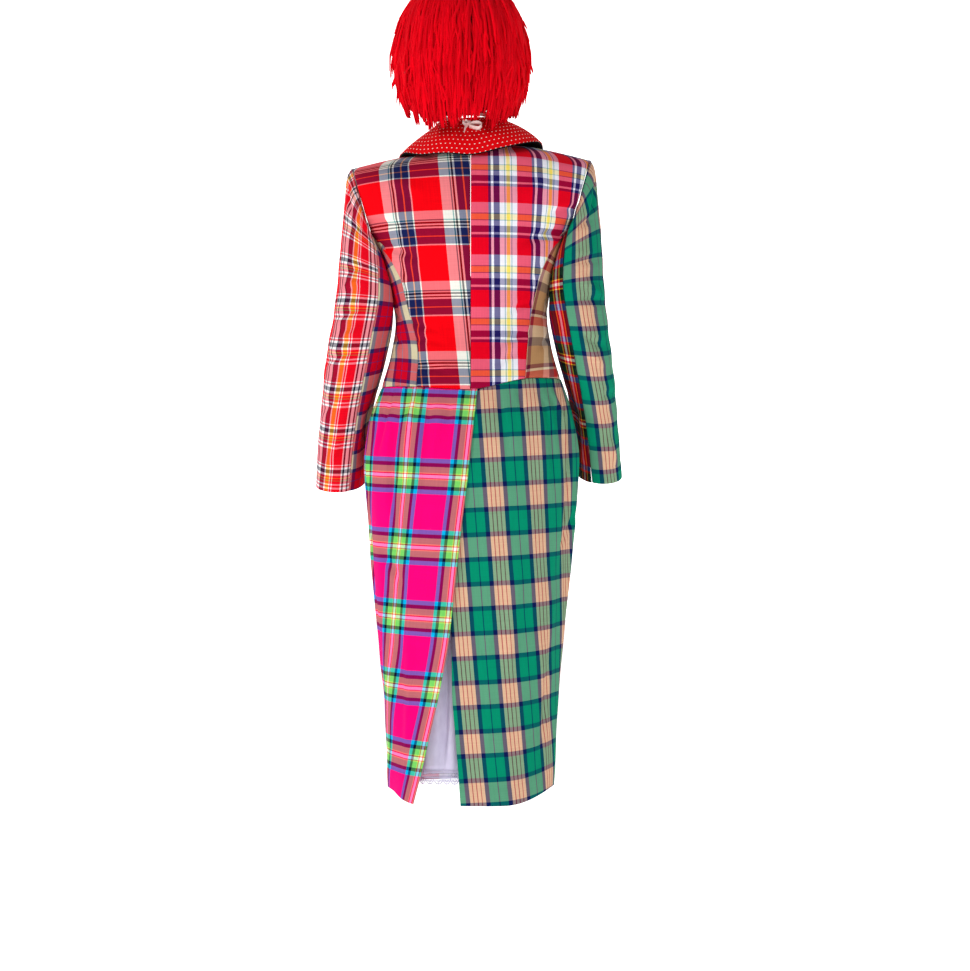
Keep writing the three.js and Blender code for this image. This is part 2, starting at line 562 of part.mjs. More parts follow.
function onSleeve(side, section, angle) {
  const at = (name) => column(sleeveRows, "section", name, section);
  const a = radians(angle);
  const across = Math.cos(a);
  const deep = Math.sin(a);
  const y = at("middleY") + deep * (deep > 0 ? at("back") : at("front"));
  const spread = side > 0 ? LEFT_SPREAD * smooth((section - 3) / 3) : 0;
  const x = mix(at("innerX"), at("outerX") + spread, (1 + across) / 2);
  const z = mix(at("innerZ"), at("outerZ"), (1 + across) / 2) - deep * at("tilt");
  if (section < 0.5) return new THREE.Vector3(side * x, y, z);
  // Where the arm presses on the body, the sleeve follows the coat's side.
  const rows = z > WAIST ? BODICE : SKIRT;
  const body = (name) => column(rows, "height", name, z);
  const depth = y > 0 ? body("back") : body("front");
  const share = Math.min(1, Math.abs(y) / depth);
  const bodyX = reach(body("halfWidth"), 2.2, share) + mix(SLEEVE_CLEARANCE, SKIRT_CLEARANCE, smooth((-z - 380) / 80));
  return new THREE.Vector3(side * (x < bodyX ? bodyX : x), y, z);
}

function sleevePanel(side, isUpper) {
  const us = evenly(isUpper ? 10 : 6);
  const grid = gridOf(us, evenly(9, 0, 9), (u, section) => {
    const back = column(SLEEVE_SEAMS, "section", "back", section);
    const front = column(SLEEVE_SEAMS, "section", "front", section);
    return onSleeve(side, section, isUpper ? mix(front - 360, back, u) : mix(back, front, u));
  });
  // The first row stands clear of the bodice's edge by a seam.
  const { topX, topZ, bottomX, bottomZ } = ARMHOLE;
  const throughArmhole = new THREE.Vector3(side * (topZ - bottomZ), 0, bottomX - topX).setLength(SEAM);
  for (const p of grid[0]) p.add(throughArmhole);
  const centres = evenly(9, 0, 9).map((section) => {
    const outer = onSleeve(side, section, 0);
    return outer.add(onSleeve(side, section, 180)).multiplyScalar(0.5);
  });
  const outOf = (p) => {
    const nearest = centres.reduce((a, b) => (a.distanceTo(p) < b.distanceTo(p) ? a : b));
    return p.clone().sub(nearest);
  };
  return cloth(trim(grid, ["start", "end"], SEAM * 0.7), CLOTH, outOf, (p, j, i) => {
    if (j === 0) return intoArmhole(side, p);
    return i === 0 || i === us.length - 1 ? centres[j].clone().sub(p).normalize() : null;
  });
}

add("sleeve_left_upper", sleevePanel(1, true), "ivory_plaid");
add("sleeve_left_under", sleevePanel(1, false), "coral_check");
add("sleeve_right_upper", sleevePanel(-1, true), "green_check");
add("sleeve_right_under", sleevePanel(-1, false), "tartan");

// ---- Collar ----
const bothSides = (name) => {
  const left = COLLAR.map((row) => new THREE.Vector3(...row[name]));
  const right = left.slice(1).map((p) => new THREE.Vector3(-p.x, p.y, p.z));
  return new THREE.CatmullRomCurve3([...right.reverse(), ...left], false, "centripetal");
};
const [seamLine, rollLine, edgeLine] = ["seam", "roll", "edge"].map(bothSides);
const COLLAR_STEPS = 26;

// Points across the collar at t along it: up the stand, over the roll and down the fall.
function acrossCollar(t) {
  const [seam, roll, edge] = [seamLine, rollLine, edgeLine].map((line) => line.getPoint(t));
  const near = (p) => roll.clone().add(p.clone().sub(roll).setLength(Math.min(ROLL_DEPTH, p.distanceTo(roll) / 2)));
  const away = new THREE.Vector3(edge.x, edge.y, 30).sub(new THREE.Vector3(roll.x, roll.y, 0)).setLength(FALL_BULGE);
  const outer = near(edge);
  const fall = [0.35, 0.7].map((s) => outer.clone().lerp(edge, s).addScaledVector(away, Math.sin(Math.PI * s)));
  return [seam, near(seam), roll, outer, ...fall, edge];
}
const collarGrid = evenly(COLLAR_STEPS).map(acrossCollar);
const fromNeck = (p) => new THREE.Vector3(p.x, p.y + 20, 25);

// Normals of the collar: out of the fall, and towards the neck on the stand.
function collarNormals() {
  const normals = normalsOf(collarGrid, fromNeck, false);
  const fallNormal = (j) => normals[j][5];
  return normals.map((row, j) =>
    row.map((normal, i) => {
      if (i === 2) return fallNormal(j).clone().multiplyScalar(0.3).add(new THREE.Vector3(0, 0, 1)).normalize();
      if (i > 2) return normal;
      const toNeck = new THREE.Vector3(-collarGrid[j][i].x, -collarGrid[j][i].y, 0);
      return normal.dot(toNeck) < 0 ? normal.clone().negate() : normal;
    }),
  );
}
const outOfCollar = collarNormals();
const movedIn = (distance, from = 0) =>
  collarGrid.map((row, j) => row.slice(from).map((p, i) => p.clone().addScaledVector(outOfCollar[j][i + from], -distance)));

add("collar", between(collarGrid, movedIn(COLLAR_CLOTH), false), "dotted_red");
const underSteps = (rows) => rows.slice(4, COLLAR_STEPS - 3).filter((_, j) => j % 2 === 0);
const feltTop = COLLAR_CLOTH + SEAM;
add(
  "under_collar",
  between(underSteps(movedIn(feltTop, 4)), underSteps(movedIn(feltTop + FELT, 4)), false),
  "black_felt",
);

// ---- Buttons ----
const buttonProfile = [
  [0, 0],
  [BUTTON_RADIUS - 1, 0],
  [BUTTON_RADIUS, 1.2],
  [BUTTON_RADIUS, 2.6],
  [BUTTON_RADIUS - 1.2, 3.6],
  [BUTTON_RADIUS - 3, 3.2],
  [0, 2.6],
].map(([r, h]) => new THREE.Vector2(r, h));
BUTTON_HEIGHTS.forEach((height, i) => {
  const button = mergeVertices(strip(new THREE.LatheGeometry(buttonProfile, 16)), 1e-3);
  button.rotateX(Math.PI); // the profile's height now points to -Y, away from the coat
  const [above, below] = [onCoat(-1, 180, height + BUTTON_RADIUS), onCoat(-1, 180, height - BUTTON_RADIUS)];
  button.rotateX(Math.atan2(below.y - above.y, above.z - below.z));
  const y = (above.y + below.y) / 2 - BUTTON_SHANK;
  add(`button_${i + 1}`, facingOut(button), "red_button", new THREE.Vector3(0, y, height));
});

function strip(geometry) {
  geometry.deleteAttribute("normal");
  geometry.deleteAttribute("uv");
  return geometry;
}

// ---- Petticoat ----
function onPetticoat(angle, height) {
  const at = (name) => column(PETTICOAT, "height", name, height);
  const a = radians(angle);
  const depth = Math.cos(a) > 0 ? at("back") : at("front");
  const waves = WAVE_DEPTH * smooth((-height - 700) / 300) * Math.cos(WAVE_COUNT * a);
  const p = new THREE.Vector3(at("halfWidth") * Math.sin(a), depth * Math.cos(a), height);
  return p.addScaledVector(new THREE.Vector3(p.x, p.y, 0).normalize(), waves);
}
const around = (n) => evenly(n - 1, 0, 360 - 360 / n);
const tube = (n, heights, point, thickness) =>
  cloth(gridOf(around(n), heights, point), thickness, (p) => new THREE.Vector3(p.x, p.y, 0), undefined, true);

const PETTICOAT_STEPS = 33;
add(
  "petticoat",
  tube(PETTICOAT_STEPS, [LACE_TOP + SEAM, -980, -840, -680, -540, -430, BAND_BOTTOM - SEAM], onPetticoat, COTTON),
  "white_cotton",
);
add("petticoat_waistband", tube(22, [BAND_BOTTOM, BAND_TOP], onPetticoat, COTTON * 2), "white_cotton");
add("petticoat_lace", tube(PETTICOAT_STEPS, [LACE_BOTTOM, LACE_TOP], onPetticoat, COTTON), "lace");

// ---- Wig ----
const solidOf = (geometry) => {
  const merged = mergeVertices(geometry, 1e-4);
  const solid = new wasm.Manifold(
    new wasm.Mesh({
      numProp: 3,
      vertProperties: merged.getAttribute("position").array,
      triVerts: new Uint32Array(merged.getIndex().array),
    }),
  );
  return solid;
};
const geometryOf = (solid) => {
  const mesh = solid.getMesh();
  const geometry = new THREE.BufferGeometry();
  geometry.setAttribute("position", new THREE.BufferAttribute(mesh.vertProperties, 3));
  geometry.setIndex(new THREE.BufferAttribute(mesh.triVerts, 1));
  geometry.computeVertexNormals();
  return geometry;
};

// The wig's shape as a closed dome, moved in by a distance and cut off at a height. rise lifts its edge beside
// the neck and in front, where the strands end higher than at the back.
function dome(inset, bottom, rise = 0) {
  const steps = 24;
  const heights = [bottom, 72, 103, 130, 145, 184, 224, 265, 295, 310].filter((h) => h === bottom || h > bottom + 8);
  const ring = (height) =>
    around(steps).map((angle) => {
      const at = (name) => Math.max(6, column(WIG_SHAPE, "height", name, height) - inset);
      const a = radians(angle);
      const depth = Math.cos(a) > 0 ? at("back") : at("front");
      const fromBack = Math.min(angle, 360 - angle);
      const raised = height === bottom ? rise * smooth((fromBack - 28) / 25) : 0;
      const lowered = height + raised - inset * smooth((height - 200) / 110);
      return new THREE.Vector3(WIG.x + at("halfWidth") * Math.sin(a), WIG.y + depth * Math.cos(a), lowered);
    });
  const rings = heights.map(ring);
  const last = rings.length - 1;
  const points = [...rings.flat(), new THREE.Vector3(WIG.x, WIG.y, bottom + rise), new THREE.Vector3(WIG.x, WIG.y, 316 - inset)];
  const faces = [];
  for (let i = 0; i < steps; i += 1) {
    const next = (i + 1) % steps;
    for (let j = 0; j < last; j += 1) {
      const [a, b, c, d] = [j * steps + i, j * steps + next, (j + 1) * steps + next, (j + 1) * steps + i];
      faces.push(a, b, c, a, c, d);
    }
    faces.push(points.length - 2, next, i);
    faces.push(points.length - 1, last * steps + i, last * steps + next);
  }
  const geometry = new THREE.BufferGeometry();
  geometry.setAttribute("position", new THREE.BufferAttribute(new Float32Array(points.flatMap((p) => [p.x, p.y, p.z])), 3));
  geometry.setIndex(faces);
  return solidOf(facingOut(geometry));
}

// The face opening: an arch pushed in from the front.
function faceOpening(extra) {
  const arch = new THREE.Shape();
  const half = FACE.halfWidth + extra;
  arch.moveTo(-half, -40);
  arch.lineTo(half, -40);
  arch.lineTo(half, FACE.top + extra - half);
  arch.absarc(0, FACE.top + extra - half, half, 0, Math.PI, false);
  arch.closePath();
  const geometry = strip(new THREE.ExtrudeGeometry(arch, { depth: 200, bevelEnabled: false, curveSegments: 10 }));
  geometry.rotateX(Math.PI / 2); // the arch stands up and is pushed towards -Y
  geometry.translate(WIG.x, FACE.back, 0);
  return solidOf(geometry);
}

const yarn = dome(0, YARN_BOTTOM, YARN_SIDE_RISE).subtract(dome(WIG.yarn, YARN_BOTTOM - 5)).subtract(faceOpening(0));
add("wig_crown", geometryOf(yarn.trimByPlane([0, 0, 1], CROWN_BOTTOM + SEAM / 2)), "red_yarn");
add("wig_yarn", geometryOf(yarn.trimByPlane([0, 0, -1], SEAM / 2 - CROWN_BOTTOM)), "red_yarn");
const capOuter = dome(WIG.yarn + SEAM, WIG.capBottom);
const cap = capOuter.subtract(dome(WIG.yarn + SEAM + WIG.cap, WIG.capBottom - 5)).subtract(faceOpening(3));
add("wig_cap", geometryOf(cap), "red_yarn");

// ---- Neck ribbon and its bow ----
const onBand = (angle, height) => {
  const a = radians(angle);
  const depth = Math.cos(a) > 0 ? NECK_BAND.back : NECK_BAND.front;
  return new THREE.Vector3(NECK_BAND.x + NECK_BAND.halfWidth * Math.sin(a), depth * Math.cos(a), height);
};
const bandHeights = [NECK_BAND.bottom, NECK_BAND.bottom + NECK_BAND.height];
add("neck_ribbon", tube(24, bandHeights, onBand, NECK_BAND.thickness), "ribbon");

// A stretch of ribbon that follows a curve in the XZ plane, its width along Y turned flat to the collar.
function ribbonAlong(points) {
  const curve = new THREE.CatmullRomCurve3(points.map((p) => new THREE.Vector3(...p)), false, "centripetal");
  const section = new THREE.Shape();
  section.moveTo(-BOW.thickness / 2, -BOW.width / 2);
  section.lineTo(BOW.thickness / 2, -BOW.width / 2);
  section.lineTo(BOW.thickness / 2, BOW.width / 2);
  section.lineTo(-BOW.thickness / 2, BOW.width / 2);
  section.closePath();
  return solidOf(strip(new THREE.ExtrudeGeometry(section, { steps: 12, extrudePath: curve, bevelEnabled: false })));
}
const { x: bowX, y: bowY, z: bowZ, loop, tail } = BOW;
const bowLoop = ribbonAlong([
  [bowX, bowY + 1, bowZ],
  [bowX - loop * 0.5, bowY + 5, bowZ + 6],
  [bowX - loop, bowY + 4, bowZ + 3],
  [bowX - loop * 0.6, bowY + 3, bowZ - 3],
  [bowX, bowY + 3, bowZ - 1],
]);
const bowTail = ribbonAlong([
  [bowX, bowY + 2, bowZ],
  [bowX + tail * 0.3, bowY + 6, bowZ - tail * 0.4],
  [bowX + tail * 0.45, bowY + 13, bowZ - tail * 0.9],
]);
const knot = strip(new THREE.SphereGeometry(BOW.knot, 12, 8));
knot.translate(bowX, bowY + 2, bowZ);
add("ribbon_bow", geometryOf(solidOf(knot).add(bowLoop).add(bowTail)), "ribbon");

export default costume;
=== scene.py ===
"""The looks of a clown costume: a patchwork coat of eight cottons, a lace-edged petticoat, a yarn wig and
a neck ribbon. Sizes are millimetres in this file and metres in Blender. +Z is up, the wearer's back faces
+Y and the wearer's left side is at +X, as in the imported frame."""

import bpy
import numpy as np
from bpy.props import FloatProperty, FloatVectorProperty, IntProperty, PointerProperty
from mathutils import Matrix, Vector


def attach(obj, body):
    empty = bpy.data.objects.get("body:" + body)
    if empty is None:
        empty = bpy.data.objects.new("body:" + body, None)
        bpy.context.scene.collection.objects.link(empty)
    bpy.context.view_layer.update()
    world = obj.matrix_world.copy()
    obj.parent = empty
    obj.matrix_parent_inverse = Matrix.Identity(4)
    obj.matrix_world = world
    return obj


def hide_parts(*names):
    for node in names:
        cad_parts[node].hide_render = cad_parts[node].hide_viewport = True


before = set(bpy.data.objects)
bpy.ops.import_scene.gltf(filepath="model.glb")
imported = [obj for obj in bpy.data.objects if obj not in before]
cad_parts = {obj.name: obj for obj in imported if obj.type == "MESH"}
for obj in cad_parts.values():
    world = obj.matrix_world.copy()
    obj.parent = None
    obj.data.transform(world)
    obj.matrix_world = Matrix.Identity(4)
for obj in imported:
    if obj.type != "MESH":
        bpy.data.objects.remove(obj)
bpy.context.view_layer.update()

bl_info = {
    "name": "Clown costume",
    "version": (1, 0, 0),
    "blender": (4, 5, 0),
    "location": "3D View > Sidebar > Costume",
    "description": "Builds a patchwork clown costume around its packed frame",
    "category": "Object",
}

MM = 0.001  # one millimetre in Blender's metres


def table(names, *rows):
    """A short table: the names of its columns, then one row for each section."""
    return dict(zip(names.split(), np.array(rows, float).T))


# ---- Driving sizes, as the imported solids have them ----
CLOTH = 1.2  # thickness of the coat's cotton
SEAM = 0.6  # free space between neighbouring pieces
LAP = 3.2  # how far an underlap lies inside the panel that covers it
WAIST = -421  # height of the seam between bodice and skirt
HEM_BACK = -1148
HEM_SIDE = {1: -1125, -1: -1122}
NECK_X = 78
NECK_BACK = 62
SHOULDER_TOP = 2
SHOULDER_X = 211
SHOULDER_DROP = 35
SLOPE_POWER = 1.6
BREAK = -230  # height where the lapels meet
FRONT_LAP_X = 14
JUNCTION = -150  # height where the back panel's seam leaves the armhole
ARMHOLE_BLEND = 65
UNDERARM = -175

# The coat's outer surface: reach to the side, back and front at each height, and how much lower the side is.
BODICE = table(
    "height drop width back back_power front front_power",
    (-421, 0, 158.5, 113, 2.2, 114, 2.2),
    (-360, 0, 141, 102, 2.2, 106, 2.2),
    (-310, 0, 134, 97, 2.2, 108, 2.2),
    (-250, 0, 143, 104, 2.2, 126, 2.25),
    (-205, 0, 158, 112, 2.25, 140, 2.3),
    (-175, 0, 169, 115, 2.25, 138, 2.2),
    (-140, 4, 186, 116, 2.25, 127, 2.1),
    (-100, 8, 201, 112, 2.2, 111, 2.0),
    (-68, 14, 207, 105, 2.15, 97, 1.9),
    (-38, 22, 211, 94, 2.0, 84, 1.7),
    (-18, 27, 212, 82, 1.6, 74, 1.35),
    (-6, 32, 211, 72, 1.1, 66, 0.95),
    (2, 35, 211, 62, 0.9, 60, 0.9),
)
SKIRT = table(
    "height drop width back back_power front front_power",
    (-1160, 0, 145, 103, 2.2, 104, 2.2),
    (-1050, 0, 150, 107, 2.2, 107, 2.2),
    (-973, 0, 154, 112, 2.2, 110, 2.2),
    (-830, 0, 168, 122, 2.2, 116, 2.2),
    (-665, 0, 180, 134, 2.2, 121, 2.2),
    (-557, 0, 188, 138, 2.2, 123, 2.2),
    (-490, 0, 182, 132, 2.2, 122, 2.2),
    (-421, 0, 158.5, 113, 2.2, 114, 2.2),
)
PRINCESS_SEAM = table(
    "height left right",
    (-421, 36.5, 36.5),
    (-355, 41.6, 45.5),
    (-286, 53.6, 54.5),
    (-221, 58, 59),
    (-178, 61, 61),
    (-150, 67, 67),
)
RIGHT_LIFT = 15  # how much higher the right side of the coat is
WAIST_DIP = 7  # how far the back of the waist hangs lower
VENT_EDGES = table(
    "height left right",
    (-1150, 88, 18),
    (-1093, 77, 22),
    (-1032, 66, 27),
    (-948, 50, 33),
    (-864, 36, 34),
    (-747, 24, 37),
    (-663, 15, 37),
    (-590, 6, 34),
    (-531, 0, 28),
    (-421, -12, 18),
)
VENT_LIFT = 16
# The largest folds of the skirt: (top angle, bottom angle, top, bottom, reach, depth).
SKIRT_FOLDS = {
    "skirt_back_left": [(26, 44, -425, -900, 20, 4), (58, 66, -430, -1100, 26, 5)],
    "skirt_back_right": [(40, 62, -425, -760, 20, 4), (66, 70, -600, -1110, 26, -5)],
    "skirt_front_left": [(120, 112, -430, -1100, 28, 5)],
    "skirt_front_right": [(124, 114, -430, -1050, 28, 5)],
}
ARMHOLE = {"top_x": 211, "top_z": -33, "bottom_x": 169, "bottom_z": -175, "back": 44, "front": 50}
SLEEVE = table(
    "section outer_x outer_z inner_x inner_z middle_y back front tilt",
    (0, 211, -33, 169, -175, 0, 44, 50, 0),
    (1, 219, -54, 160, -181, 0, 52, 55, 0),
    (2, 223, -90, 148, -190, 0, 57, 59, 0),
    (3, 230, -160, 132, -215, 2, 62, 62, 0),
    (4, 235, -248, 126, -262, 6, 60, 60, 0),
    (5, 243, -330, 139, -328, 6, 57, 57, 8),
    (6, 250, -390, 152, -382, -3, 54, 54, 13),
    (7, 257, -448, 167, -440, -22, 51, 51, 16),
    (8, 264, -515, 180, -508, -44, 48, 48, 16),
    (9, 271, -592, 191, -588, -70, 45, 45, 16),
)
LEFT_SPREAD = 9  # how much further out the left sleeve hangs from the elbow down
SLEEVE_CLEARANCE = 3.5
SKIRT_CLEARANCE = 9
SLEEVE_SEAMS = table("section back front", (0, 128, 232), (3, 112, 240), (6, 112, 244), (9, 114, 246))
COLLAR = table(
    "seam_x seam_y seam_z roll_x roll_y roll_z edge_x edge_y edge_z",
    (0, 64, 5, 0, 54, 49, 0, 93, -19),
    (32, 58, 5, 27, 48, 48, 46, 88, -15),
    (60, 40, 5.5, 50, 32, 46, 88, 67, -10),
    (78, 6, 6, 61, 2, 42, 119, 26, -3),
    (77, -32, -3, 63, -34, 29, 129, -24, -9),
    (71, -64, -20, 63, -67, 3, 128, -67, -42),
    (61, -89, -46, 58, -96, -35, 118, -91, -86),
    (45, -113, -96, 45, -120, -88, 98, -119, -134),
    (27, -136, -150, 28, -142, -146, 68, -142, -182),
    (9, -146, -202, 11, -151, -200, 28, -151, -224),
)
LEFT_DROP = 5  # how much lower the collar's edge lies on the left shoulder
COLLAR_CLOTH = 1.8
UNDER_SHEET = 0.8
ROLL_DEPTH = 5
FALL_BULGE = 4
BUTTON_HEIGHTS = (-262, -328, -394)
BUTTON_RADIUS = 11
BUTTON_SHANK = 1.5
PETTICOAT = table(
    "height width back front",
    (-1140, 130, 90, 88),
    (-1105, 130, 91, 90),
    (-900, 137, 100, 98),
    (-650, 160, 118, 108),
    (-540, 168, 122, 110),
    (-430, 143, 101, 102),
    (-360, 122, 88, 92),
    (-320, 118, 84, 90),
)
COTTON = 1.0
BAND_TOP = -325
BAND_BOTTOM = -352
LACE_TOP = -1088
LACE_BOTTOM = -1113
WAVE_COUNT = 11
WAVE_DEPTH = 3
WIG = {"x": 17, "y": -8, "yarn": 24}
WIG_SHAPE = table(
    "height width back front",
    (28, 90, 120, 104),
    (67, 101, 126, 112),
    (103, 113, 131, 118),
    (145, 120, 134, 122),
    (184, 118, 132, 121),
    (224, 111, 124, 115),
    (265, 92, 104, 99),
    (295, 64, 73, 71),
    (310, 34, 39, 38),
    (315, 12, 14, 13),
)
FACE = {"half_width": 66, "top": 205, "back": -52}
NECK_BAND = {"x": 6, "half_width": 53, "back": 47, "front": 51, "bottom": 54, "height": 9}
BOW = {"x": 3, "y": 63, "z": 44, "knot": 5, "width": 8, "loop": 22, "tail": 20}
BOW_OUT, BOW_DROP = 3, 6  # how much further out and lower the bow is drawn than its solid lies

# ---- Plain mathematics ----


def smooth(t):
    c = np.clip(t, 0, 1)
    return c * c * (3 - 2 * c)


def mix(a, b, t):
    return a + (b - a) * t


def points(x, y, z):
    return np.stack(np.broadcast_arrays(x, y, z), -1).astype(float)


def lengths(vectors):
    return np.linalg.norm(vectors, axis=-1, keepdims=True)


def unit(vectors):
    return vectors / np.maximum(lengths(vectors), 1e-9)


def column(rows, name, x, key="height"):
    """One column of a table at x: a curve through the rows that never overshoots them."""
    k, v = rows[key], rows[name]
    x = np.clip(np.asarray(x, float), k[0], k[-1])
    i = np.clip(np.searchsorted(k, x, side="left") - 1, 0, len(k) - 2)
    slope = np.diff(v) / np.diff(k)
    a, b = slope[:-1], slope[1:]
    inner = np.where(a * b > 0, 2 * a * b / np.where(a * b > 0, a + b, 1), 0)
    tangent = np.concatenate([slope[:1], inner, slope[-1:]])
    span = k[i + 1] - k[i]
    t = (x - k[i]) / span
    return (
        (2 * t**3 - 3 * t**2 + 1) * v[i]
        + (t**3 - 2 * t**2 + t) * span * tangent[i]
        + (3 * t**2 - 2 * t**3) * v[i + 1]
        + (t**3 - t**2) * span * tangent[i + 1]
    )


def curve_through(corners, t):
    """A smooth curve through corners, at the shares t of its stretches."""
    last = len(corners) - 1
    ends = np.concatenate([[2 * corners[0] - corners[1]], corners, [2 * corners[-1] - corners[-2]]])
    place = np.clip(np.asarray(t, float) * last, 0, last - 1e-9)
    i = place.astype(int)
    w = (place - i)[:, None]
    p0, p1, p2, p3 = (ends[i + k] for k in range(4))
    d0, d1, d2 = (np.sqrt(np.maximum(lengths(b - a), 1e-9)) for a, b in ((p0, p1), (p1, p2), (p2, p3)))
    start = ((p1 - p0) / d0 - (p2 - p0) / (d0 + d1) + (p2 - p1) / d1) * d1
    end = ((p2 - p1) / d1 - (p3 - p1) / (d1 + d2) + (p3 - p2) / d2) * d1
    return p1 + start * w + (3 * (p2 - p1) - 2 * start - end) * w**2 + (2 * (p1 - p2) + start + end) * w**3


def ripple(across, up, seed, length, height):
    """The small unevenness of pressed cotton: a few long waves in seeded directions."""
    rng = np.random.default_rng(seed)
    total = 0
    for turn, phase, stretch in rng.uniform((0, 0, 0.6), (2 * np.pi, 2 * np.pi, 1.6), (6, 3)):
        along = across * np.cos(turn) + up * np.sin(turn)
        total = total + np.sin(along * 2 * np.pi / (length * stretch) + phase)
    return height * total / 3


def relief(creases, across, up):
    """How far creases move the cloth out. Each row is (across, up) at both ends, width, depth and bend: a
    soft trough or ridge with low shoulders that fades towards its ends."""
    total = np.zeros(np.broadcast(across, up).shape)
    for x0, y0, x1, y1, width, depth, bend in creases:
        dx, dy = x1 - x0, y1 - y0
        length = np.hypot(dx, dy)
        t = ((across - x0) * dx + (up - y0) * dy) / length**2
        inside = np.clip(t, 0, 1)
        off = ((across - x0) * dy - (up - y0) * dx) / length - bend * 4 * inside * (1 - inside)
        fade = smooth(t / 0.3) * smooth((1 - t) / 0.45)
        shape = np.exp(-((off / width) ** 2)) - 0.45 * np.exp(-((off / (1.9 * width)) ** 2))
        total = total + depth * fade * shape / 0.55
    return total


# ---- The form of the coat ----


def reach(depth, power, s):
    return depth * np.maximum(0, 1 - np.abs(s) ** power) ** (1 / power)


def body(name, height):
    return np.where(height > WAIST, column(BODICE, name, height), column(SKIRT, name, height))


def on_coat(side, angle, height):
    """A point of the coat: angle 0 is the centre back, 90 the side and 180 the centre front."""
    angle, height = np.broadcast_arrays(np.asarray(angle, float), np.asarray(height, float))
    s = np.sin(np.radians(angle))
    back = reach(body("back", height), body("back_power", height), s)
    front = -reach(body("front", height), body("front_power", height), s)
    z = height - body("drop", height) * np.abs(s) ** SLOPE_POWER
    return points(side * body("width", height) * s, np.where(angle <= 90, back, front), z)


def seam_angle(side, height):
    return column(PRINCESS_SEAM, "left" if side > 0 else "right", height)


def lift_at(grid, is_skirt):
    """How much higher or lower than the even form the coat sits at each point."""
    x, y, z = grid[..., 0], grid[..., 1], grid[..., 2]
    lift = RIGHT_LIFT * smooth((10 - x) / 120) * (smooth((z + 800) / 379) if is_skirt else 1)
    dip = smooth(1 - np.abs(x) / 140) * smooth(y / 60) * smooth((z + 700) / 279) * smooth((-160 - z) / 261)
    return lift, -WAIST_DIP * dip


def lifted(grid, is_skirt=False):
    return grid + points(0, 0, sum(lift_at(grid, is_skirt)))


def angle_at(x, height, is_back):
    angle = np.degrees(np.arcsin(np.clip(x / body("width", height), -1, 1)))
    return angle if is_back else 180 - angle


def on_armhole(side, angle):
    a = np.radians(angle)
    y = np.sin(a) * np.where(np.sin(a) > 0, ARMHOLE["back"], ARMHOLE["front"])
    x = mix(ARMHOLE["bottom_x"], ARMHOLE["top_x"], (1 + np.cos(a)) / 2)
    return points(side * x, y, mix(ARMHOLE["bottom_z"], ARMHOLE["top_z"], (1 + np.cos(a)) / 2))


def armhole_angle(z):
    share = (z - ARMHOLE["bottom_z"]) / (ARMHOLE["top_z"] - ARMHOLE["bottom_z"])
    return np.degrees(np.arccos(np.clip(2 * share - 1, -1, 1)))


def armhole_at(side, height, is_back):
    angle = armhole_angle(height - column(BODICE, "drop", height))
    return on_armhole(side, angle if is_back else 360 - angle)


def on_shoulder(side, x):
    y = np.where(x < NECK_X, NECK_BACK * np.sqrt(np.maximum(0, 1 - (x / NECK_X) ** 2)), 0)
    return points(side * x, y, SHOULDER_TOP - SHOULDER_DROP * (x / SHOULDER_X) ** SLOPE_POWER)


def blend_at(height, top):
    return smooth((height - top + ARMHOLE_BLEND) / ARMHOLE_BLEND)


def front_edge(height):
    t = np.clip((height - BREAK) / (SHOULDER_TOP - BREAK), 0, None)
    return np.where(height <= BREAK, -FRONT_LAP_X, mix(0, NECK_X, t) - FRONT_LAP_X * (1 - smooth(t * 8)))


def shares(count, *close):
    """Even steps from 0 to 1 with a few close ones at both ends, where seams dip."""
    return np.array(sorted({0.0, 1.0, *np.linspace(0.03, 0.97, count), *close, *(1 - c for c in close)}))


def arcs(grid, axis):
    """Distances along the grid's rows or columns from their first point."""
    steps = lengths(np.diff(grid, axis=axis))[..., 0]
    return np.concatenate([np.zeros_like(np.take(steps, [0], axis)), np.cumsum(steps, axis)], axis)


def trim(grid, edges, distance=SEAM / 2):
    """Moves the first or last points of the rows, or the first or last row, in by half a seam."""
    at = {"start": (np.s_[:, 0], np.s_[:, 1]), "end": (np.s_[:, -1], np.s_[:, -2])}
    at.update(bottom=(np.s_[0], np.s_[1]), top=(np.s_[-1], np.s_[-2]))
    for edge in edges.split():
        mine, next_one = at[edge]
        grid[mine] += unit(grid[next_one] - grid[mine]) * distance
    return grid


def normals_of(grid, outward, ring=False):
    """Unit normals of a grid on the side that outward points to."""
    across = np.roll(grid, -1, 1) - np.roll(grid, 1, 1) if ring else np.gradient(grid, axis=1)
    normal = unit(np.cross(across, np.gradient(grid, axis=0)))
    return normal * np.sign(np.sum(normal * outward))


SEAM_DIP = 0.9  # how deep cloth dips into a seam
SEAM_WIDTH = 2.6


def seam_dip(grid, edges):
    """The dip of the cloth beside its seams."""
    across, up = arcs(grid, 1), arcs(grid, 0)
    away = {"start": across, "end": across[:, -1:] - across, "bottom": up, "top": up[-1:] - up}
    return sum(-SEAM_DIP * np.exp(-((away[edge] / SEAM_WIDTH) ** 2)) for edge in edges.split())
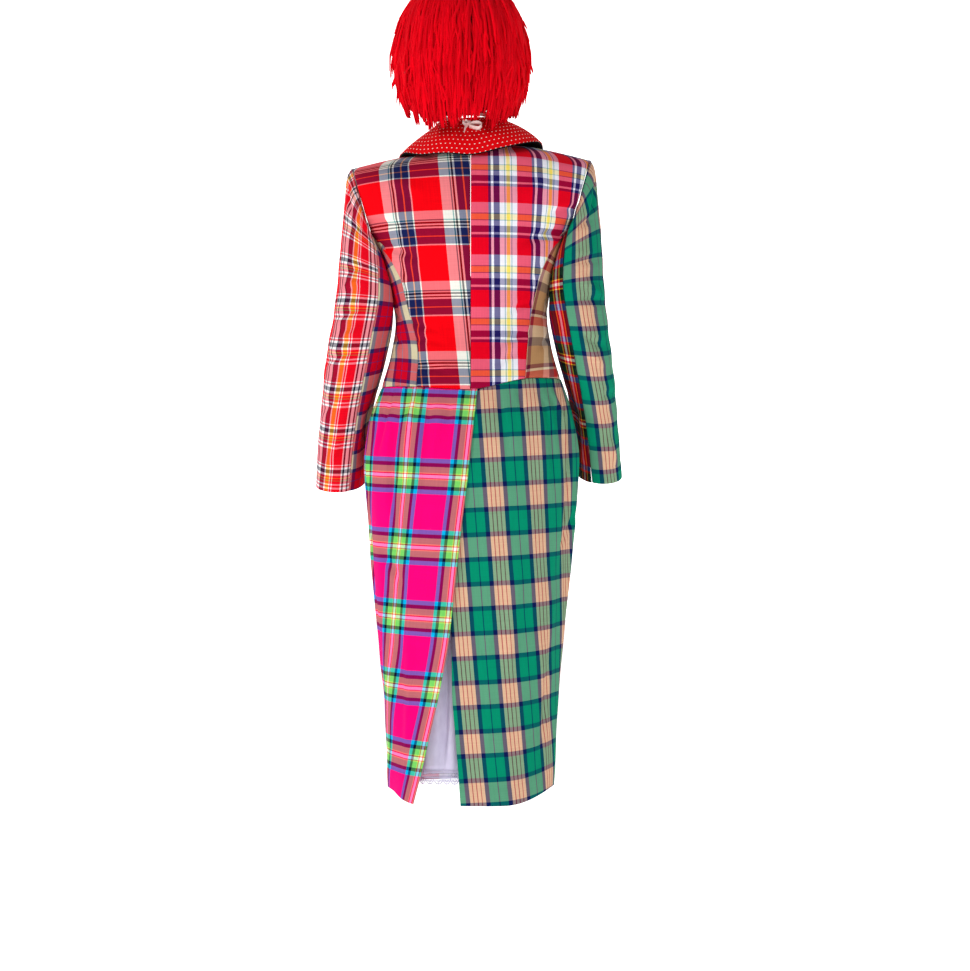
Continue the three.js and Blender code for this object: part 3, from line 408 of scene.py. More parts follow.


# ---- Creases ----
# Each is (angle, height) on the body at both ends, then width, depth and bend in millimetres.
BODY_ARC = 165 * np.pi / 180  # millimetres for each degree round the body
BACK_CREASES = {
    1: [
        (70, -128, 34, -152, 8, -2.2, 5),
        (64, -168, 30, -214, 9, -2.6, 6),
        (60, -190, 44, -268, 8, 1.8, -4),
        (46, -52, 20, -96, 13, 1.8, 4),
        (58, -300, 20, -322, 6, -2.0, -4),
        (50, -338, 14, -346, 6, -1.7, 3),
        (44, -382, 10, -398, 7, -1.6, 3),
        (84, -226, 66, -330, 10, -2.4, 5),
        (88, -330, 52, -360, 7, -2.0, 4),
        (86, -286, 62, -306, 6, -1.8, -3),
    ],
    -1: [
        (72, -118, 40, -140, 8, -2.0, 4),
        (66, -160, 26, -196, 9, -2.8, 5),
        (58, -206, 50, -290, 8, 2.0, 5),
        (40, -60, 24, -120, 14, 1.6, -4),
        (54, -290, 24, -306, 6, -2.2, 3),
        (56, -334, 10, -352, 6, -1.8, -4),
        (36, -372, 12, -392, 7, -1.8, 3),
        (86, -220, 70, -318, 10, -2.2, -4),
        (84, -344, 50, -378, 7, -2.2, 4),
        (90, -300, 64, -324, 6, -1.6, 3),
    ],
}
FRONT_CREASES = {
    1: [
        (104, -176, 140, -214, 9, -2.6, 5),
        (100, -196, 122, -276, 8, 1.8, -4),
        (98, -300, 146, -326, 7, -2.2, 4),
        (106, -352, 158, -372, 7, -1.8, -4),
        (124, -110, 142, -160, 10, 1.6, 4),
        (94, -380, 128, -402, 7, -1.8, 3),
    ],
    -1: [
        (106, -170, 138, -206, 9, -2.4, -4),
        (102, -204, 116, -290, 8, 2.0, 4),
        (96, -310, 150, -334, 7, -2.0, 4),
        (110, -342, 152, -366, 7, -2.0, 4),
        (126, -104, 146, -150, 10, 1.4, -4),
        (98, -372, 134, -398, 7, -1.6, 3),
    ],
}
SKIRT_CREASES = {
    "skirt_back_left": [
        (24, -424, 28, -640, 8, -3.0, 4),
        (34, -424, 38, -600, 9, 3.0, -3),
        (43, -426, 47, -700, 9, -3.4, -6),
        (56, -424, 60, -560, 8, -2.4, 4),
        (70, -428, 76, -640, 11, 2.6, 5),
        (78, -520, 74, -900, 12, -3.2, -8),
        (12, -430, 16, -520, 7, -1.6, 3),
        (40, -820, 48, -1110, 14, 2.6, 6),
        (62, -700, 40, -780, 9, -1.8, 6),
    ],
    "skirt_back_right": [
        (17, -424, 21, -560, 7, -2.4, 3),
        (45, -424, 52, -640, 9, -3.0, 5),
        (56, -424, 62, -600, 9, 2.8, -4),
        (66, -426, 70, -760, 10, -3.4, 6),
        (78, -440, 80, -900, 12, 3.0, -7),
        (30, -430, 33, -500, 7, -1.6, 2),
        (30, -700, 24, -980, 16, 2.2, 8),
        (58, -840, 54, -1110, 13, -2.4, -7),
        (84, -640, 62, -720, 9, -1.8, 5),
    ],
    "skirt_front_left": [
        (100, -426, 104, -640, 9, -3.0, 4),
        (118, -424, 122, -560, 9, -2.6, -4),
        (140, -426, 144, -620, 9, -2.2, 4),
        (130, -760, 124, -1080, 14, 2.4, 7),
        (104, -760, 108, -1080, 12, -2.6, -7),
    ],
    "skirt_front_right": [
        (98, -426, 106, -660, 9, -2.8, -4),
        (122, -424, 126, -600, 9, -3.0, 4),
        (146, -426, 150, -560, 9, -2.0, -3),
        (134, -700, 128, -1020, 14, 2.2, -6),
        (108, -800, 104, -1090, 12, -2.8, 7),
    ],
}
# On a sleeve the ends are (angle round it, millimetres below its head).
SLEEVE_ARC = 56 * np.pi / 180
SLEEVE_CREASES = {
    1: [
        (20, 24, 60, 96, 8, -2.2, 5),
        (104, 60, 40, 118, 9, -2.8, -6),
        (96, 150, 20, 196, 8, -3.0, 6),
        (88, 196, 30, 226, 7, 2.2, -4),
        (112, 236, 10, 270, 7, -3.2, 6),
        (100, 282, 40, 300, 7, 2.4, 4),
        (104, 322, 0, 352, 8, -2.8, -5),
        (60, 396, 10, 440, 9, -2.0, 5),
        (80, 470, 50, 540, 10, 2.0, 4),
        (150, 90, 200, 150, 8, -2.4, 4),
        (140, 260, 210, 284, 8, -2.8, 4),
        (150, 330, 220, 372, 8, -2.4, -5),
        (-40, 180, -86, 232, 8, -2.6, 5),
        (-30, 286, -96, 306, 8, -2.8, 5),
        (-20, 420, -70, 470, 9, -2.0, 5),
    ],
    -1: [
        (16, 18, 70, 110, 8, -2.4, -5),
        (100, 70, 30, 108, 9, -2.6, 6),
        (108, 160, 24, 178, 8, -2.8, 5),
        (84, 204, 16, 248, 8, 2.2, 5),
        (110, 252, 0, 262, 7, -3.0, -6),
        (100, 300, 24, 332, 7, -3.0, 5),
        (96, 330, 40, 372, 8, 2.4, -4),
        (70, 410, 0, 430, 9, -2.0, -5),
        (60, 480, 30, 552, 10, 2.0, 4),
        (146, 100, 204, 168, 8, -2.6, -4),
        (136, 272, 214, 300, 8, -2.6, 4),
        (154, 350, 216, 388, 8, -2.4, 5),
        (-36, 170, -90, 214, 8, -2.4, -5),
        (-26, 280, -90, 318, 8, -2.6, 5),
        (-24, 400, -76, 440, 9, -2.2, -5),
    ],
}


def scaled(creases, per_degree):
    """Creases with their angles turned to millimetres."""
    return [(a0 * per_degree, h0, a1 * per_degree, h1, *rest) for a0, h0, a1, h1, *rest in creases]


def body_relief(side, angle, height, depth):
    across = angle * BODY_ARC
    creases = scaled(BACK_CREASES[side] + FRONT_CREASES[side], BODY_ARC)
    return depth * relief(creases, across, height) + ripple(across, height, 5 + side, 90, 0.6)


# ---- Meshes ----


def mesh_object(name, verts, faces, material, uvs=None, flat=0, shade=None):
    """An object from points in millimetres. The last `flat` faces are flat shaded."""
    mesh = bpy.data.meshes.new(name)
    mesh.from_pydata((np.asarray(verts) * MM).tolist(), [], [list(map(int, f)) for f in faces])
    smooth_faces = np.ones(len(faces), bool)
    if flat:
        smooth_faces[-flat:] = False
    mesh.polygons.foreach_set("use_smooth", smooth_faces)
    if uvs is not None:
        mesh.uv_layers.new(name="Cloth").data.foreach_set("uv", (np.asarray(uvs) * MM).ravel())
    if shade is not None:
        attribute = mesh.attributes.new("shade", "FLOAT", "POINT")
        attribute.data.foreach_set("value", np.asarray(shade, np.float32))
    mesh.materials.append(material)
    mesh.update()
    piece = bpy.data.objects.new(name, mesh)
    bpy.context.scene.collection.objects.link(piece)
    return piece


def quads_of(ids):
    """The faces of a grid, from the numbers of its points."""
    return np.stack([ids[:-1, :-1], ids[:-1, 1:], ids[1:, 1:], ids[1:, :-1]], -1).reshape(-1, 4)


def shell(name, grid, normals, thickness, material, cloth, ring=False):
    """A thin closed sheet: the grid, a second layer behind it and the cut edges between them. cloth holds
    each point's place on the flat cloth, with one more column on a ring."""
    rows, columns = grid.shape[:2]
    count = rows * columns
    verts = np.concatenate([grid.reshape(-1, 3), (grid - normals * thickness).reshape(-1, 3)])
    j, i = np.meshgrid(np.arange(rows), np.arange(columns + ring), indexing="ij")
    ids = j * columns + i % columns
    flat_ids = j * (columns + ring) + i
    cloth = np.asarray(cloth).reshape(-1, 2)
    outer = np.cross(grid[0, 1] - grid[0, 0], grid[1, 0] - grid[0, 0]) @ normals[0, 0] > 0

    def quads(a, b, c, d):
        return np.stack([a, b, c, d], -1).reshape(-1, 4)

    def rims(g, back):
        edges = [(g[0], back[0]), (g[-1][::-1], back[-1][::-1])]
        if not ring:
            edges += [(g[::-1, 0], back[::-1, 0]), (g[:, -1], back[:, -1])]
        return np.concatenate([quads(b[:-1], b[1:], e[1:], e[:-1]) for e, b in edges])

    front, front_flat = quads_of(ids), quads_of(flat_ids)
    edge, edge_flat = rims(ids, ids + count), rims(flat_ids, flat_ids)
    faces = np.concatenate([front, front[:, ::-1] + count, edge])
    places = np.concatenate([front_flat, front_flat[:, ::-1], edge_flat])
    if not outer:
        faces, places = faces[:, ::-1], places[:, ::-1]
    return mesh_object(name, verts, faces, material, cloth[places.ravel()], flat=len(edge))


def tubes(paths, radii, toward, sides=5):
    """Round threads along paths (one row each). toward points across them, and never along."""
    paths = np.asarray(paths, float)
    threads, steps = paths.shape[:2]
    tangent = unit(np.gradient(paths, axis=1))
    side = unit(np.cross(tangent, np.broadcast_to(toward, paths.shape)))
    up = np.cross(side, tangent)
    turn = np.linspace(0, 2 * np.pi, sides, endpoint=False)
    radii = np.broadcast_to(radii, (threads, steps))[:, :, None, None]
    ring = side[:, :, None] * np.cos(turn)[:, None] + up[:, :, None] * np.sin(turn)[:, None]
    verts = (paths[:, :, None] + ring * radii).reshape(-1, 3)
    t, k, s = np.meshgrid(np.arange(threads), np.arange(steps - 1), np.arange(sides), indexing="ij")
    at = (t * steps + k) * sides
    a, b = at + s, at + (s + 1) % sides
    walls = np.stack([a, b, b + sides, a + sides], -1).reshape(-1, 4)
    first = np.arange(threads)[:, None] * steps * sides + np.arange(sides)
    return verts, [*walls, *first[:, ::-1], *(first + (steps - 1) * sides)]


def joined(parts):
    """Several (points, faces) as one."""
    verts, faces, start = [], [], 0
    for part_verts, part_faces in parts:
        verts.append(part_verts)
        faces += [np.asarray(f) + start for f in part_faces]
        start += len(part_verts)
    return np.concatenate(verts), faces


def stand_for(piece, slot, *nodes):
    """The piece shows in place of these solids, which are hidden, and hangs from the body's root."""
    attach(piece, "root")
    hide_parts(*nodes)
    return piece


# ---- Materials ----


def linear(colour):
    """An sRGB colour, as 0xRRGGBB, in Blender's linear values."""
    channels = [(colour >> shift & 255) / 255 for shift in (16, 8, 0)]
    return [c / 12.92 if c <= 0.04045 else ((c + 0.055) / 1.055) ** 2.4 for c in channels]


def add_node(tree, kind, settings=None, **links):
    """Adds a node. settings are its properties and plain inputs; links are inputs fed by sockets or numbers,
    written _0, _1 for an input's number and by name with _ for a space otherwise."""
    node = tree.nodes.new("ShaderNode" + kind)
    for name, value in (settings or {}).items():
        if hasattr(node, name):
            setattr(node, name, value)
        else:
            node.inputs[name].default_value = value
    for name, value in links.items():
        key = int(name[1:]) if name.startswith("_") else name.replace("_", " ")
        if isinstance(value, bpy.types.NodeSocket):
            tree.links.new(value, node.inputs[key])
        else:
            node.inputs[key].default_value = value
    return node


def math_node(tree, operation, a, b=0.0, c=0.0):
    return add_node(tree, "Math", {"operation": operation}, _0=a, _1=b, _2=c).outputs[0]


def new_material(name, colour, roughness, sheen=0.0, sheen_roughness=0.5, specular=0.5):
    material = bpy.data.materials.new(name)
    material.use_nodes = True
    material.diffuse_color = (*linear(colour), 1)
    tree = material.node_tree
    shader = tree.nodes["Principled BSDF"]
    shader.inputs["Base Color"].default_value = (*linear(colour), 1)
    shader.inputs["Roughness"].default_value = roughness
    shader.inputs["Sheen Weight"].default_value = sheen
    shader.inputs["Sheen Roughness"].default_value = sheen_roughness
    shader.inputs["Specular IOR Level"].default_value = specular
    return material, tree, shader


# Plain-woven yarn-dyed cottons. Each sett lists its stripes with their widths in millimetres. share is how
# much of the surface the warp covers.
PLAIDS = {
    "scarlet_plaid": {
        "red": 0xF3000F, "white": 0xF0EEE4, "teal": 0x2D8282, "black": 0x0F0F14, "navy": 0x141E50,
        "orange": 0xE1783C, "share": 0.54,
        "warp": "orange 2.4, navy 11.8, white 3.4, black 3.2, white 2.2, teal 2.4, white 16.8, red 52, "
        "white 2.5, navy 11.8",
        "weft": "navy 12.6, white 3, black 2.4, white 2.6, black 3.4, white 1.8, teal 2.4, white 15.2, "
        "red 61.5, white 2.5, navy 12.6, orange 2",
    },
    "rose_plaid": {
        "red": 0xE4001E, "navy": 0x1E185A, "white": 0xF0F0FA, "teal": 0x468C96, "yellow": 0xFAE164,
        "share": 0.62,
        "warp": "red 26.6, navy 4.5, white 4.5, navy 10.5, white 8.4, teal 1.6, white 2, yellow 6.4, "
        "white 2, teal 1.6, white 8.9",
        "weft": "red 29, navy 5.5, white 4, navy 11, white 9, teal 1.8, yellow 9.9, teal 1.8, white 18.5",
    },
    "coral_check": {
        "beige": 0xD2C8A5, "red": 0xCD0023, "navy": 0x28235F, "blue": 0x463C8C, "share": 0.5,
        "warp": "red 13, blue 1.5, red 13, navy 7, beige 22.5, navy 7",
        "weft": "red 15, blue 1.5, red 15, navy 7, beige 27.5, navy 7",
    },
    "tan_check": {
        "tan": 0xB98C5F, "cream": 0xEBD7B9, "grey": 0x5F5A5F, "red": 0xC83232, "maroon": 0x5A142D,
        "share": 0.5,
        "warp": "tan 30, cream 16, grey 16, red 18, cream 5, maroon 7",
        "weft": "tan 34, grey 16, cream 22, red 16, cream 5, maroon 8",
    },
    "ivory_plaid": {
        "red": 0xE4051E, "white": 0xF5F0F0, "black": 0x141428, "maroon": 0x690F37, "amber": 0xF5A51E,
        "green": 0x78A03C, "share": 0.56,
        "warp": "white 4, black 2.8, white 5.5, black 3.2, white 2.5, red 15, white 2, red 2.5, white 2, "
        "amber 8.5, white 2.5, maroon 9.5, black 2.5, white 5.5",
        "weft": "red 30, white 3.5, red 4, white 2.4, red 5, green 1.6, red 3, amber 1.6, red 4, white 4, "
        "black 7, white 4, red 3, white 2",
    },
    "green_check": {
        "emerald": 0x008C69, "navy": 0x0A1950, "peach": 0xDCB493, "maroon": 0xA01E32, "share": 0.59,
        "warp": "navy 1.6, emerald 14.9, navy 7.5, peach 5.7, maroon 1.6, peach 5.75, maroon 1.6, "
        "peach 5.75, maroon 1.6, peach 5.7, navy 7.5, emerald 15.5",
        "weft": "emerald 34, navy 8.5, peach 34, navy 8.5",
    },
    "tartan": {
        "red": 0xBE001E, "blue": 0x2846A0, "green": 0x0F3723, "black": 0x0F0F14, "yellow": 0xF0B41E,
        "white": 0xF0EBE1, "share": 0.5,
        "warp": "red 30, blue 9, red 3, green 10, black 4, yellow 2, red 4, white 4, red 4, yellow 2, "
        "black 4, green 10, red 3, blue 9",
        "weft": "red 40, blue 10, red 4, green 12, black 5, yellow 2.2, red 4, white 4.6, red 4, "
        "yellow 2.2, black 5, green 12, red 4, blue 9",
    },
    "magenta_plaid": {
        "pink": 0xFF0078, "turquoise": 0x00AFE6, "black": 0x0A0A28, "green": 0x78D264, "red": 0xDC141E,
        "yellow": 0xDCE664, "white": 0xFAFAFA, "share": 0.5,
        "warp": "white 4.4, red 1.7, yellow 1.5, green 8.9, black 5.3, turquoise 6.3, pink 52.6, "
        "turquoise 6.3, black 5.3, green 8.9, yellow 1.5, red 1.7",
        "weft": "white 5.2, red 1.8, yellow 1.8, green 10.4, black 6.6, turquoise 7.5, pink 61.7, "
        "turquoise 7.5, black 6.6, green 10.4, yellow 1.8, red 1.8",
    },
}
# One thread and its gap. Real ones are 0.3 mm and would not show, so they are drawn coarser.
THREAD_DRAWN = 1.3


def stripes(text):
    return [(name, float(width)) for name, width in (stripe.split() for stripe in text.split(", "))]


def stripe_ramp(tree, place, sett, colours):
    """The sett's stripes along a distance in metres, as the dye values of yarn."""
    widths = [width for _, width in sett]
    repeat = sum(widths)
    share = math_node(tree, "FRACT", math_node(tree, "DIVIDE", place, repeat * MM))
    ramp = add_node(tree, "ValToRGB", _0=share)
    ramp.color_ramp.interpolation = "CONSTANT"
    elements = ramp.color_ramp.elements
    elements.remove(elements[1])
    start = 0.0
    for i, (name, width) in enumerate(sett):
        stop = elements[0] if i == 0 else elements.new(start / repeat)
        stop.position = start / repeat
        stop.color = (*linear(colours[name]), 1)
        start += width
    return add_node(tree, "Gamma", _0=ramp.outputs["Color"], _1=1 / 2.2).outputs[0]


def thread_noise(tree, u, v, scale_u, scale_v, low, high):
    """Uneven yarn: noise drawn out along the thread, as a factor from low to high."""
    x, y = math_node(tree, "MULTIPLY", u, scale_u), math_node(tree, "MULTIPLY", v, scale_v)
    where = add_node(tree, "CombineXYZ", X=x, Y=y)
    noise = add_node(tree, "TexNoise", {"Scale": 1.0, "Detail": 1.0}, Vector=where.outputs[0])
    limits = {"From Min": 0.3, "From Max": 0.7, "To Min": low, "To Max": high}
    return add_node(tree, "MapRange", limits, Value=noise.outputs[0]).outputs[0]


def cloth_place(tree):
    uv = add_node(tree, "UVMap", {"uv_map": "Cloth"})
    split = add_node(tree, "SeparateXYZ", _0=uv.outputs[0])
    return split.outputs["X"], split.outputs["Y"]


def weave_bump(tree, shader, u, v, pitch, height):
    """Over-and-under threads: two waves at right angles, one shifted half a thread."""
    angle = 2 * np.pi / (pitch * MM)
    waves = [math_node(tree, "SINE", math_node(tree, "MULTIPLY", place, angle)) for place in (u, v)]
    slub = thread_noise(tree, u, v, 60, 900, -0.6, 0.6)
    surface = math_node(tree, "ADD", math_node(tree, "MULTIPLY", *waves), slub)
    bump = add_node(tree, "Bump", {"Strength": 0.6, "Distance": height * MM}, Height=surface)
    tree.links.new(bump.outputs[0], shader.inputs["Normal"])


def plaid_cotton(name, settings):
    """Yarn-dyed cotton plaid, plain woven: where a warp and a weft stripe cross, their colours mix thread by
    thread, which the eye sees as a third tone. Matte, with a faint fibre sheen."""
    plaid = PLAIDS[name]
    material, tree, shader = new_material(f"cotton_{name}", 0xC83232, 0.9, settings.sheen, 0.45, 0.05)
    u, v = cloth_place(tree)
    warp = stripe_ramp(tree, u, stripes(plaid["warp"]), plaid)
    weft = stripe_ramp(tree, v, stripes(plaid["weft"]), plaid)
    warp_tone = thread_noise(tree, u, v, 900, 12, 0.95, 1.05)
    weft_tone = thread_noise(tree, u, v, 12, 900, 0.95, 1.05)
    tone = math_node(tree, "MULTIPLY", warp_tone, weft_tone)
    woven = add_node(tree, "MixRGB", {"Fac": 1 - plaid["share"]}, Color1=warp, Color2=weft)
    dyed = add_node(tree, "Gamma", _0=woven.outputs[0], _1=2.2)
    shaded = add_node(tree, "VectorMath", {"operation": "SCALE"}, _0=dyed.outputs[0], Scale=tone)
    tree.links.new(shaded.outputs[0], shader.inputs["Base Color"])
    weave_bump(tree, shader, u, v, settings.thread * 1000, 0.12)
    return material


DOTS = {"radius": 0.95, "row_step": 9.0, "dot_step": 7.3, "soft_edge": 0.2}  # printed on the collar


def dotted_cotton(settings):
    """Printed cotton poplin with small dots in staggered rows, smooth and hardly shiny."""
    dot, row_step, dot_step = DOTS["radius"], DOTS["row_step"], DOTS["dot_step"]
    material, tree, shader = new_material("cotton_poplin_dotted", 0xE1000A, 0.8, settings.sheen, 0.4, 0.08)
    u, v = cloth_place(tree)
    row = math_node(tree, "DIVIDE", v, row_step * MM)
    half = math_node(tree, "MULTIPLY", math_node(tree, "FLOOR", row), 0.5)
    along_row = math_node(tree, "DIVIDE", u, dot_step * MM)
    across = math_node(tree, "FRACT", math_node(tree, "ADD", along_row, half))
    x = math_node(tree, "MULTIPLY", math_node(tree, "SUBTRACT", across, 0.5), dot_step)
    y = math_node(tree, "MULTIPLY", math_node(tree, "SUBTRACT", math_node(tree, "FRACT", row), 0.5), row_step)
    squares = [math_node(tree, "MULTIPLY", side, side) for side in (x, y)]
    away = math_node(tree, "SQRT", math_node(tree, "ADD", *squares))
    soft = DOTS["soft_edge"]
    limits = {"From Min": dot + soft, "From Max": dot - soft, "To Min": 0.0, "To Max": 1.0}
    inside = add_node(tree, "MapRange", limits, Value=away)
    printed = add_node(
        tree, "MixRGB", {"Color1": (*settings.collar_red, 1), "Color2": (*settings.dot_white, 1)},
        Fac=inside.outputs[0],
    )
    tree.links.new(printed.outputs[0], shader.inputs["Base Color"])
    weave_bump(tree, shader, u, v, 0.9, 0.06)
    return material


def under_collar_black():
    """A near-black, dull surface with a fuzzy bump and no weave."""
    material, tree, shader = new_material("under_collar_black_surface", 0x0C0A0C, 0.95, 0.03, 0.6, 0.05)
    noise = add_node(tree, "TexNoise", {"Scale": 900.0, "Detail": 2.0})
    bump = add_node(tree, "Bump", {"Strength": 0.5, "Distance": 0.3 * MM}, Height=noise.outputs[0])
    tree.links.new(bump.outputs[0], shader.inputs["Normal"])
    return material


def white_cotton(settings, name, slub_and_shade_scale):
    """Bleached cotton lawn: thin, soft and matte, cool white with a little light through it. Its cool grey,
    and the shade colour mixed in by noise, are painted shade.
    """
    material, tree, shader = new_material(name, 0xEAE6F4, 0.8, 0.12, 0.5)
    shader.inputs["Base Color"].default_value = (*settings.white, 1)
    noise = add_node(tree, "TexNoise", {"Scale": slub_and_shade_scale, "Detail": 3.0})
    # Painted shade: the shade colour is mixed in by noise, darkening the cotton in random patches.
    shades = {"Color1": (*settings.white, 1), "Color2": (*settings.shadow, 1)}
    tone = add_node(tree, "MixRGB", shades, Fac=noise.outputs[0])
    tree.links.new(tone.outputs[0], shader.inputs["Base Color"])
    bump = add_node(tree, "Bump", {"Strength": 0.3, "Distance": 0.2 * MM}, Height=noise.outputs[0])
    tree.links.new(bump.outputs[0], shader.inputs["Normal"])
    return material


def moulded_button(settings):
    """Moulded polyester resin: dyed through and glossy, with faint swirls."""
    material, tree, shader = new_material("polyester_resin_button", 0xB50D16, 0.28)
    shader.inputs["IOR"].default_value = 1.55
    shader.inputs["Coat Weight"].default_value = 0.3
    swirl = add_node(tree, "TexNoise", {"Scale": 120.0, "Detail": 2.0, "Distortion": 1.5})
    dark = [c * 0.7 for c in settings.button_red]
    tone = add_node(
        tree, "MixRGB", {"Color1": (*settings.button_red, 1), "Color2": (*dark, 1)}, Fac=swirl.outputs[0]
    )
    tree.links.new(tone.outputs[0], shader.inputs["Base Color"])
    return material


def sewing_thread():
    """Mercerised cotton thread: tight, with a soft shine along the twist."""
    material, tree, shader = new_material("cotton_thread_red", 0x8C0A12, 0.6, 0.2, 0.4)
    noise = add_node(tree, "TexNoise", {"Scale": 2500.0})
    bump = add_node(tree, "Bump", {"Strength": 0.4, "Distance": 0.1 * MM}, Height=noise.outputs[0])
    tree.links.new(bump.outputs[0], shader.inputs["Normal"])
    return material


def spun_yarn(settings):
    """Acrylic yarn, spun and brushed: fuzzy and matte. The shade attribute darkens its red towards 0.22 of
    itself, as painted shade where strands lie deep.
    """
    material, tree, shader = new_material("acrylic_yarn_red", 0xFA0019, 0.95, 0.01, 0.6, 0.04)
    shade = add_node(tree, "Attribute", {"attribute_name": "shade"}).outputs["Fac"]
    # Painted shade: the darkest tone, for strands that lie deep in the wig's shadow.
    deep = [c * 0.22 for c in settings.red]
    tone = add_node(tree, "MixRGB", {"Color1": (*deep, 1), "Color2": (*settings.red, 1)}, Fac=shade)
    tree.links.new(tone.outputs[0], shader.inputs["Base Color"])
    fuzz = add_node(tree, "TexNoise", {"Scale": 900.0, "Detail": 2.0})
    bump = add_node(tree, "Bump", {"Strength": 0.6, "Distance": 0.5 * MM}, Height=fuzz.outputs[0])
    tree.links.new(bump.outputs[0], shader.inputs["Normal"])
    return material


def knitted_cap(settings):
    """A knitted nylon cap: small loops in rows, with a dull shine."""
    material, tree, shader = new_material("knitted_nylon_cap", 0xB0101C, 0.75, 0.2, 0.5)
    shader.inputs["Base Color"].default_value = (*[c * 0.7 for c in settings.red], 1)
    place = add_node(tree, "TexCoord").outputs["Object"]
    loops = add_node(tree, "TexVoronoi", {"Scale": 450.0}, Vector=place)  # a loop about every 2 mm
    bump = add_node(tree, "Bump", {"Strength": 0.8, "Distance": 0.6 * MM}, Height=loops.outputs["Distance"])
    tree.links.new(bump.outputs[0], shader.inputs["Normal"])
    return material


def satin_ribbon(settings):
    """Polyester satin ribbon: fine ribs across and a soft band of light."""
    material, tree, shader = new_material("polyester_satin_ribbon", 0xF2D0CB, 0.35, 0.3, 0.3)
    shader.inputs["Base Color"].default_value = (*settings.pink, 1)
    place = add_node(tree, "TexCoord").outputs["Object"]
    ribs = add_node(tree, "TexNoise", {"Scale": 1400.0}, Vector=place)
    bump = add_node(tree, "Bump", {"Strength": 0.25, "Distance": 0.1 * MM}, Height=ribs.outputs[0])
    tree.links.new(bump.outputs[0], shader.inputs["Normal"])
    return material


# ---- Bodice ----
# Where each panel lies on its cloth: the place of the sett's first stripe, and how far the cloth leans.
GRAIN = {
    "back_left": {"u": -24, "v": 138.75, "lean_u": 0.098, "lean_v": 0},
    "back_right": {"u": 0, "v": 227.7, "lean_u": 0, "lean_v": 0},
    "side_left": {"u": 20, "v": 10, "lean_u": 0, "lean_v": 0.1},
    "side_right": {"u": 8, "v": 24, "lean_u": 0, "lean_v": 0.1},
    "front_left": {"u": 12, "v": 30, "lean_u": 0, "lean_v": 0},
    "front_right": {"u": 20, "v": 60, "lean_u": 0, "lean_v": 0},
    "skirt_back_left": {"u": 4.5, "v": -43.6, "lean_u": 0, "lean_v": 0.04},
    "skirt_back_right": {"u": -0.5, "v": -168.5, "lean_u": 0, "lean_v": 0.045},
    "skirt_front_left": {"u": 30, "v": 40, "lean_u": 0, "lean_v": 0},
    "skirt_front_right": {"u": 30, "v": 20, "lean_u": 0, "lean_v": 0},
    "sleeve_left_upper": {"u": 0, "v": 0, "lean_u": 0, "lean_v": 0},
    "sleeve_left_under": {"u": 10, "v": 0, "lean_u": 0, "lean_v": 0},
    "sleeve_right_upper": {"u": -0.5, "v": 3.5, "lean_u": 0, "lean_v": 0},
    "sleeve_right_under": {"u": -50, "v": -56.5, "lean_u": 0, "lean_v": 0},
}
FIRST_STRIPE = 26.6  # width of the stripe beside the centre seam of the right back
FIRST_WIDER = 6.4  # and how much wider it is left at the waist
# How much straighter the cloth's rows lie across the sloping shoulders than the panel does.
STRAIGHTENED = {1: 0.5, -1: 0.3}


def laid_out(node, across, up):
    """The places of a panel's points on its cloth, from distances across and up in millimetres."""
    grain = GRAIN[node]
    u = across - grain["lean_u"] * up - grain["u"]
    v = up - grain["lean_v"] * across - grain["v"]
    return np.stack(np.broadcast_arrays(u, v), -1)


def coat_piece(node, slot, grid, outward, seams, move, material, cloth, thickness=CLOTH):
    """A panel with its creases and seam dips, standing for its solid."""
    normals = normals_of(grid, outward)
    grid = grid + normals * (move + seam_dip(grid, seams))[..., None]
    grid = lifted(trim(grid, seams), node.startswith("skirt"))
    flat = laid_out(node, *cloth)
    piece = shell(f"cloth_{node}", grid, normals_of(grid, outward), thickness, material, flat)
    stand_for(piece, slot, node)
    return piece


def from_axis(grid):
    return points(grid[..., 0], grid[..., 1] * 1.5, 60)


def back_panel(side, settings):
    node, slot = ("back_left", "scarlet_plaid") if side > 0 else ("back_right", "rose_plaid")
    u = shares(46, 0.008, 0.018)[None]
    height = [np.linspace(WAIST, JUNCTION, 56), np.linspace(JUNCTION, SHOULDER_TOP, 40)[1:]]
    height = np.concatenate(height)[:, None]
    height = np.sort(np.append(height, [WAIST + 1.2, WAIST + 3]))[:, None]
    lower = np.minimum(height, JUNCTION)
    seam = seam_angle(side, lower)
    upper = np.maximum(height, JUNCTION)
    armhole = armhole_at(side, upper, True)
    edge = mix(seam, angle_at(np.abs(armhole[..., 0]), upper, True), smooth((height - JUNCTION) / 50))
    off = armhole - on_coat(side, edge, upper)
    share = smooth((u - 0.4) / 0.6) * np.where(height > JUNCTION, 1, blend_at(height, JUNCTION))
    grid = on_coat(side, u * edge, height) + off * share[..., None]
    near_top = smooth((height + 34) / 36)[..., None]
    grid = mix(grid, on_shoulder(side, SHOULDER_X * np.sin(np.pi / 2 * u)), near_top)
    move = body_relief(side, u * edge, height, settings.crease_depth) * (1 - near_top[..., 0])
    level = STRAIGHTENED[side] * body("drop", height) * np.abs(np.sin(np.radians(u * edge))) ** SLOPE_POWER
    across, up = arcs(grid, 1), arcs(grid, 0)[:, :1]
    if side < 0:
        wider = FIRST_WIDER - 0.008 * up
        first = FIRST_STRIPE + wider
        across = np.where(across < first, across * FIRST_STRIPE / first, across - wider)
    cloth = across, up - level + sum(lift_at(grid, False))
    material = plaid_cotton(slot, settings)
    return coat_piece(node, slot, grid, from_axis(grid), "start end bottom top", move, material, cloth)


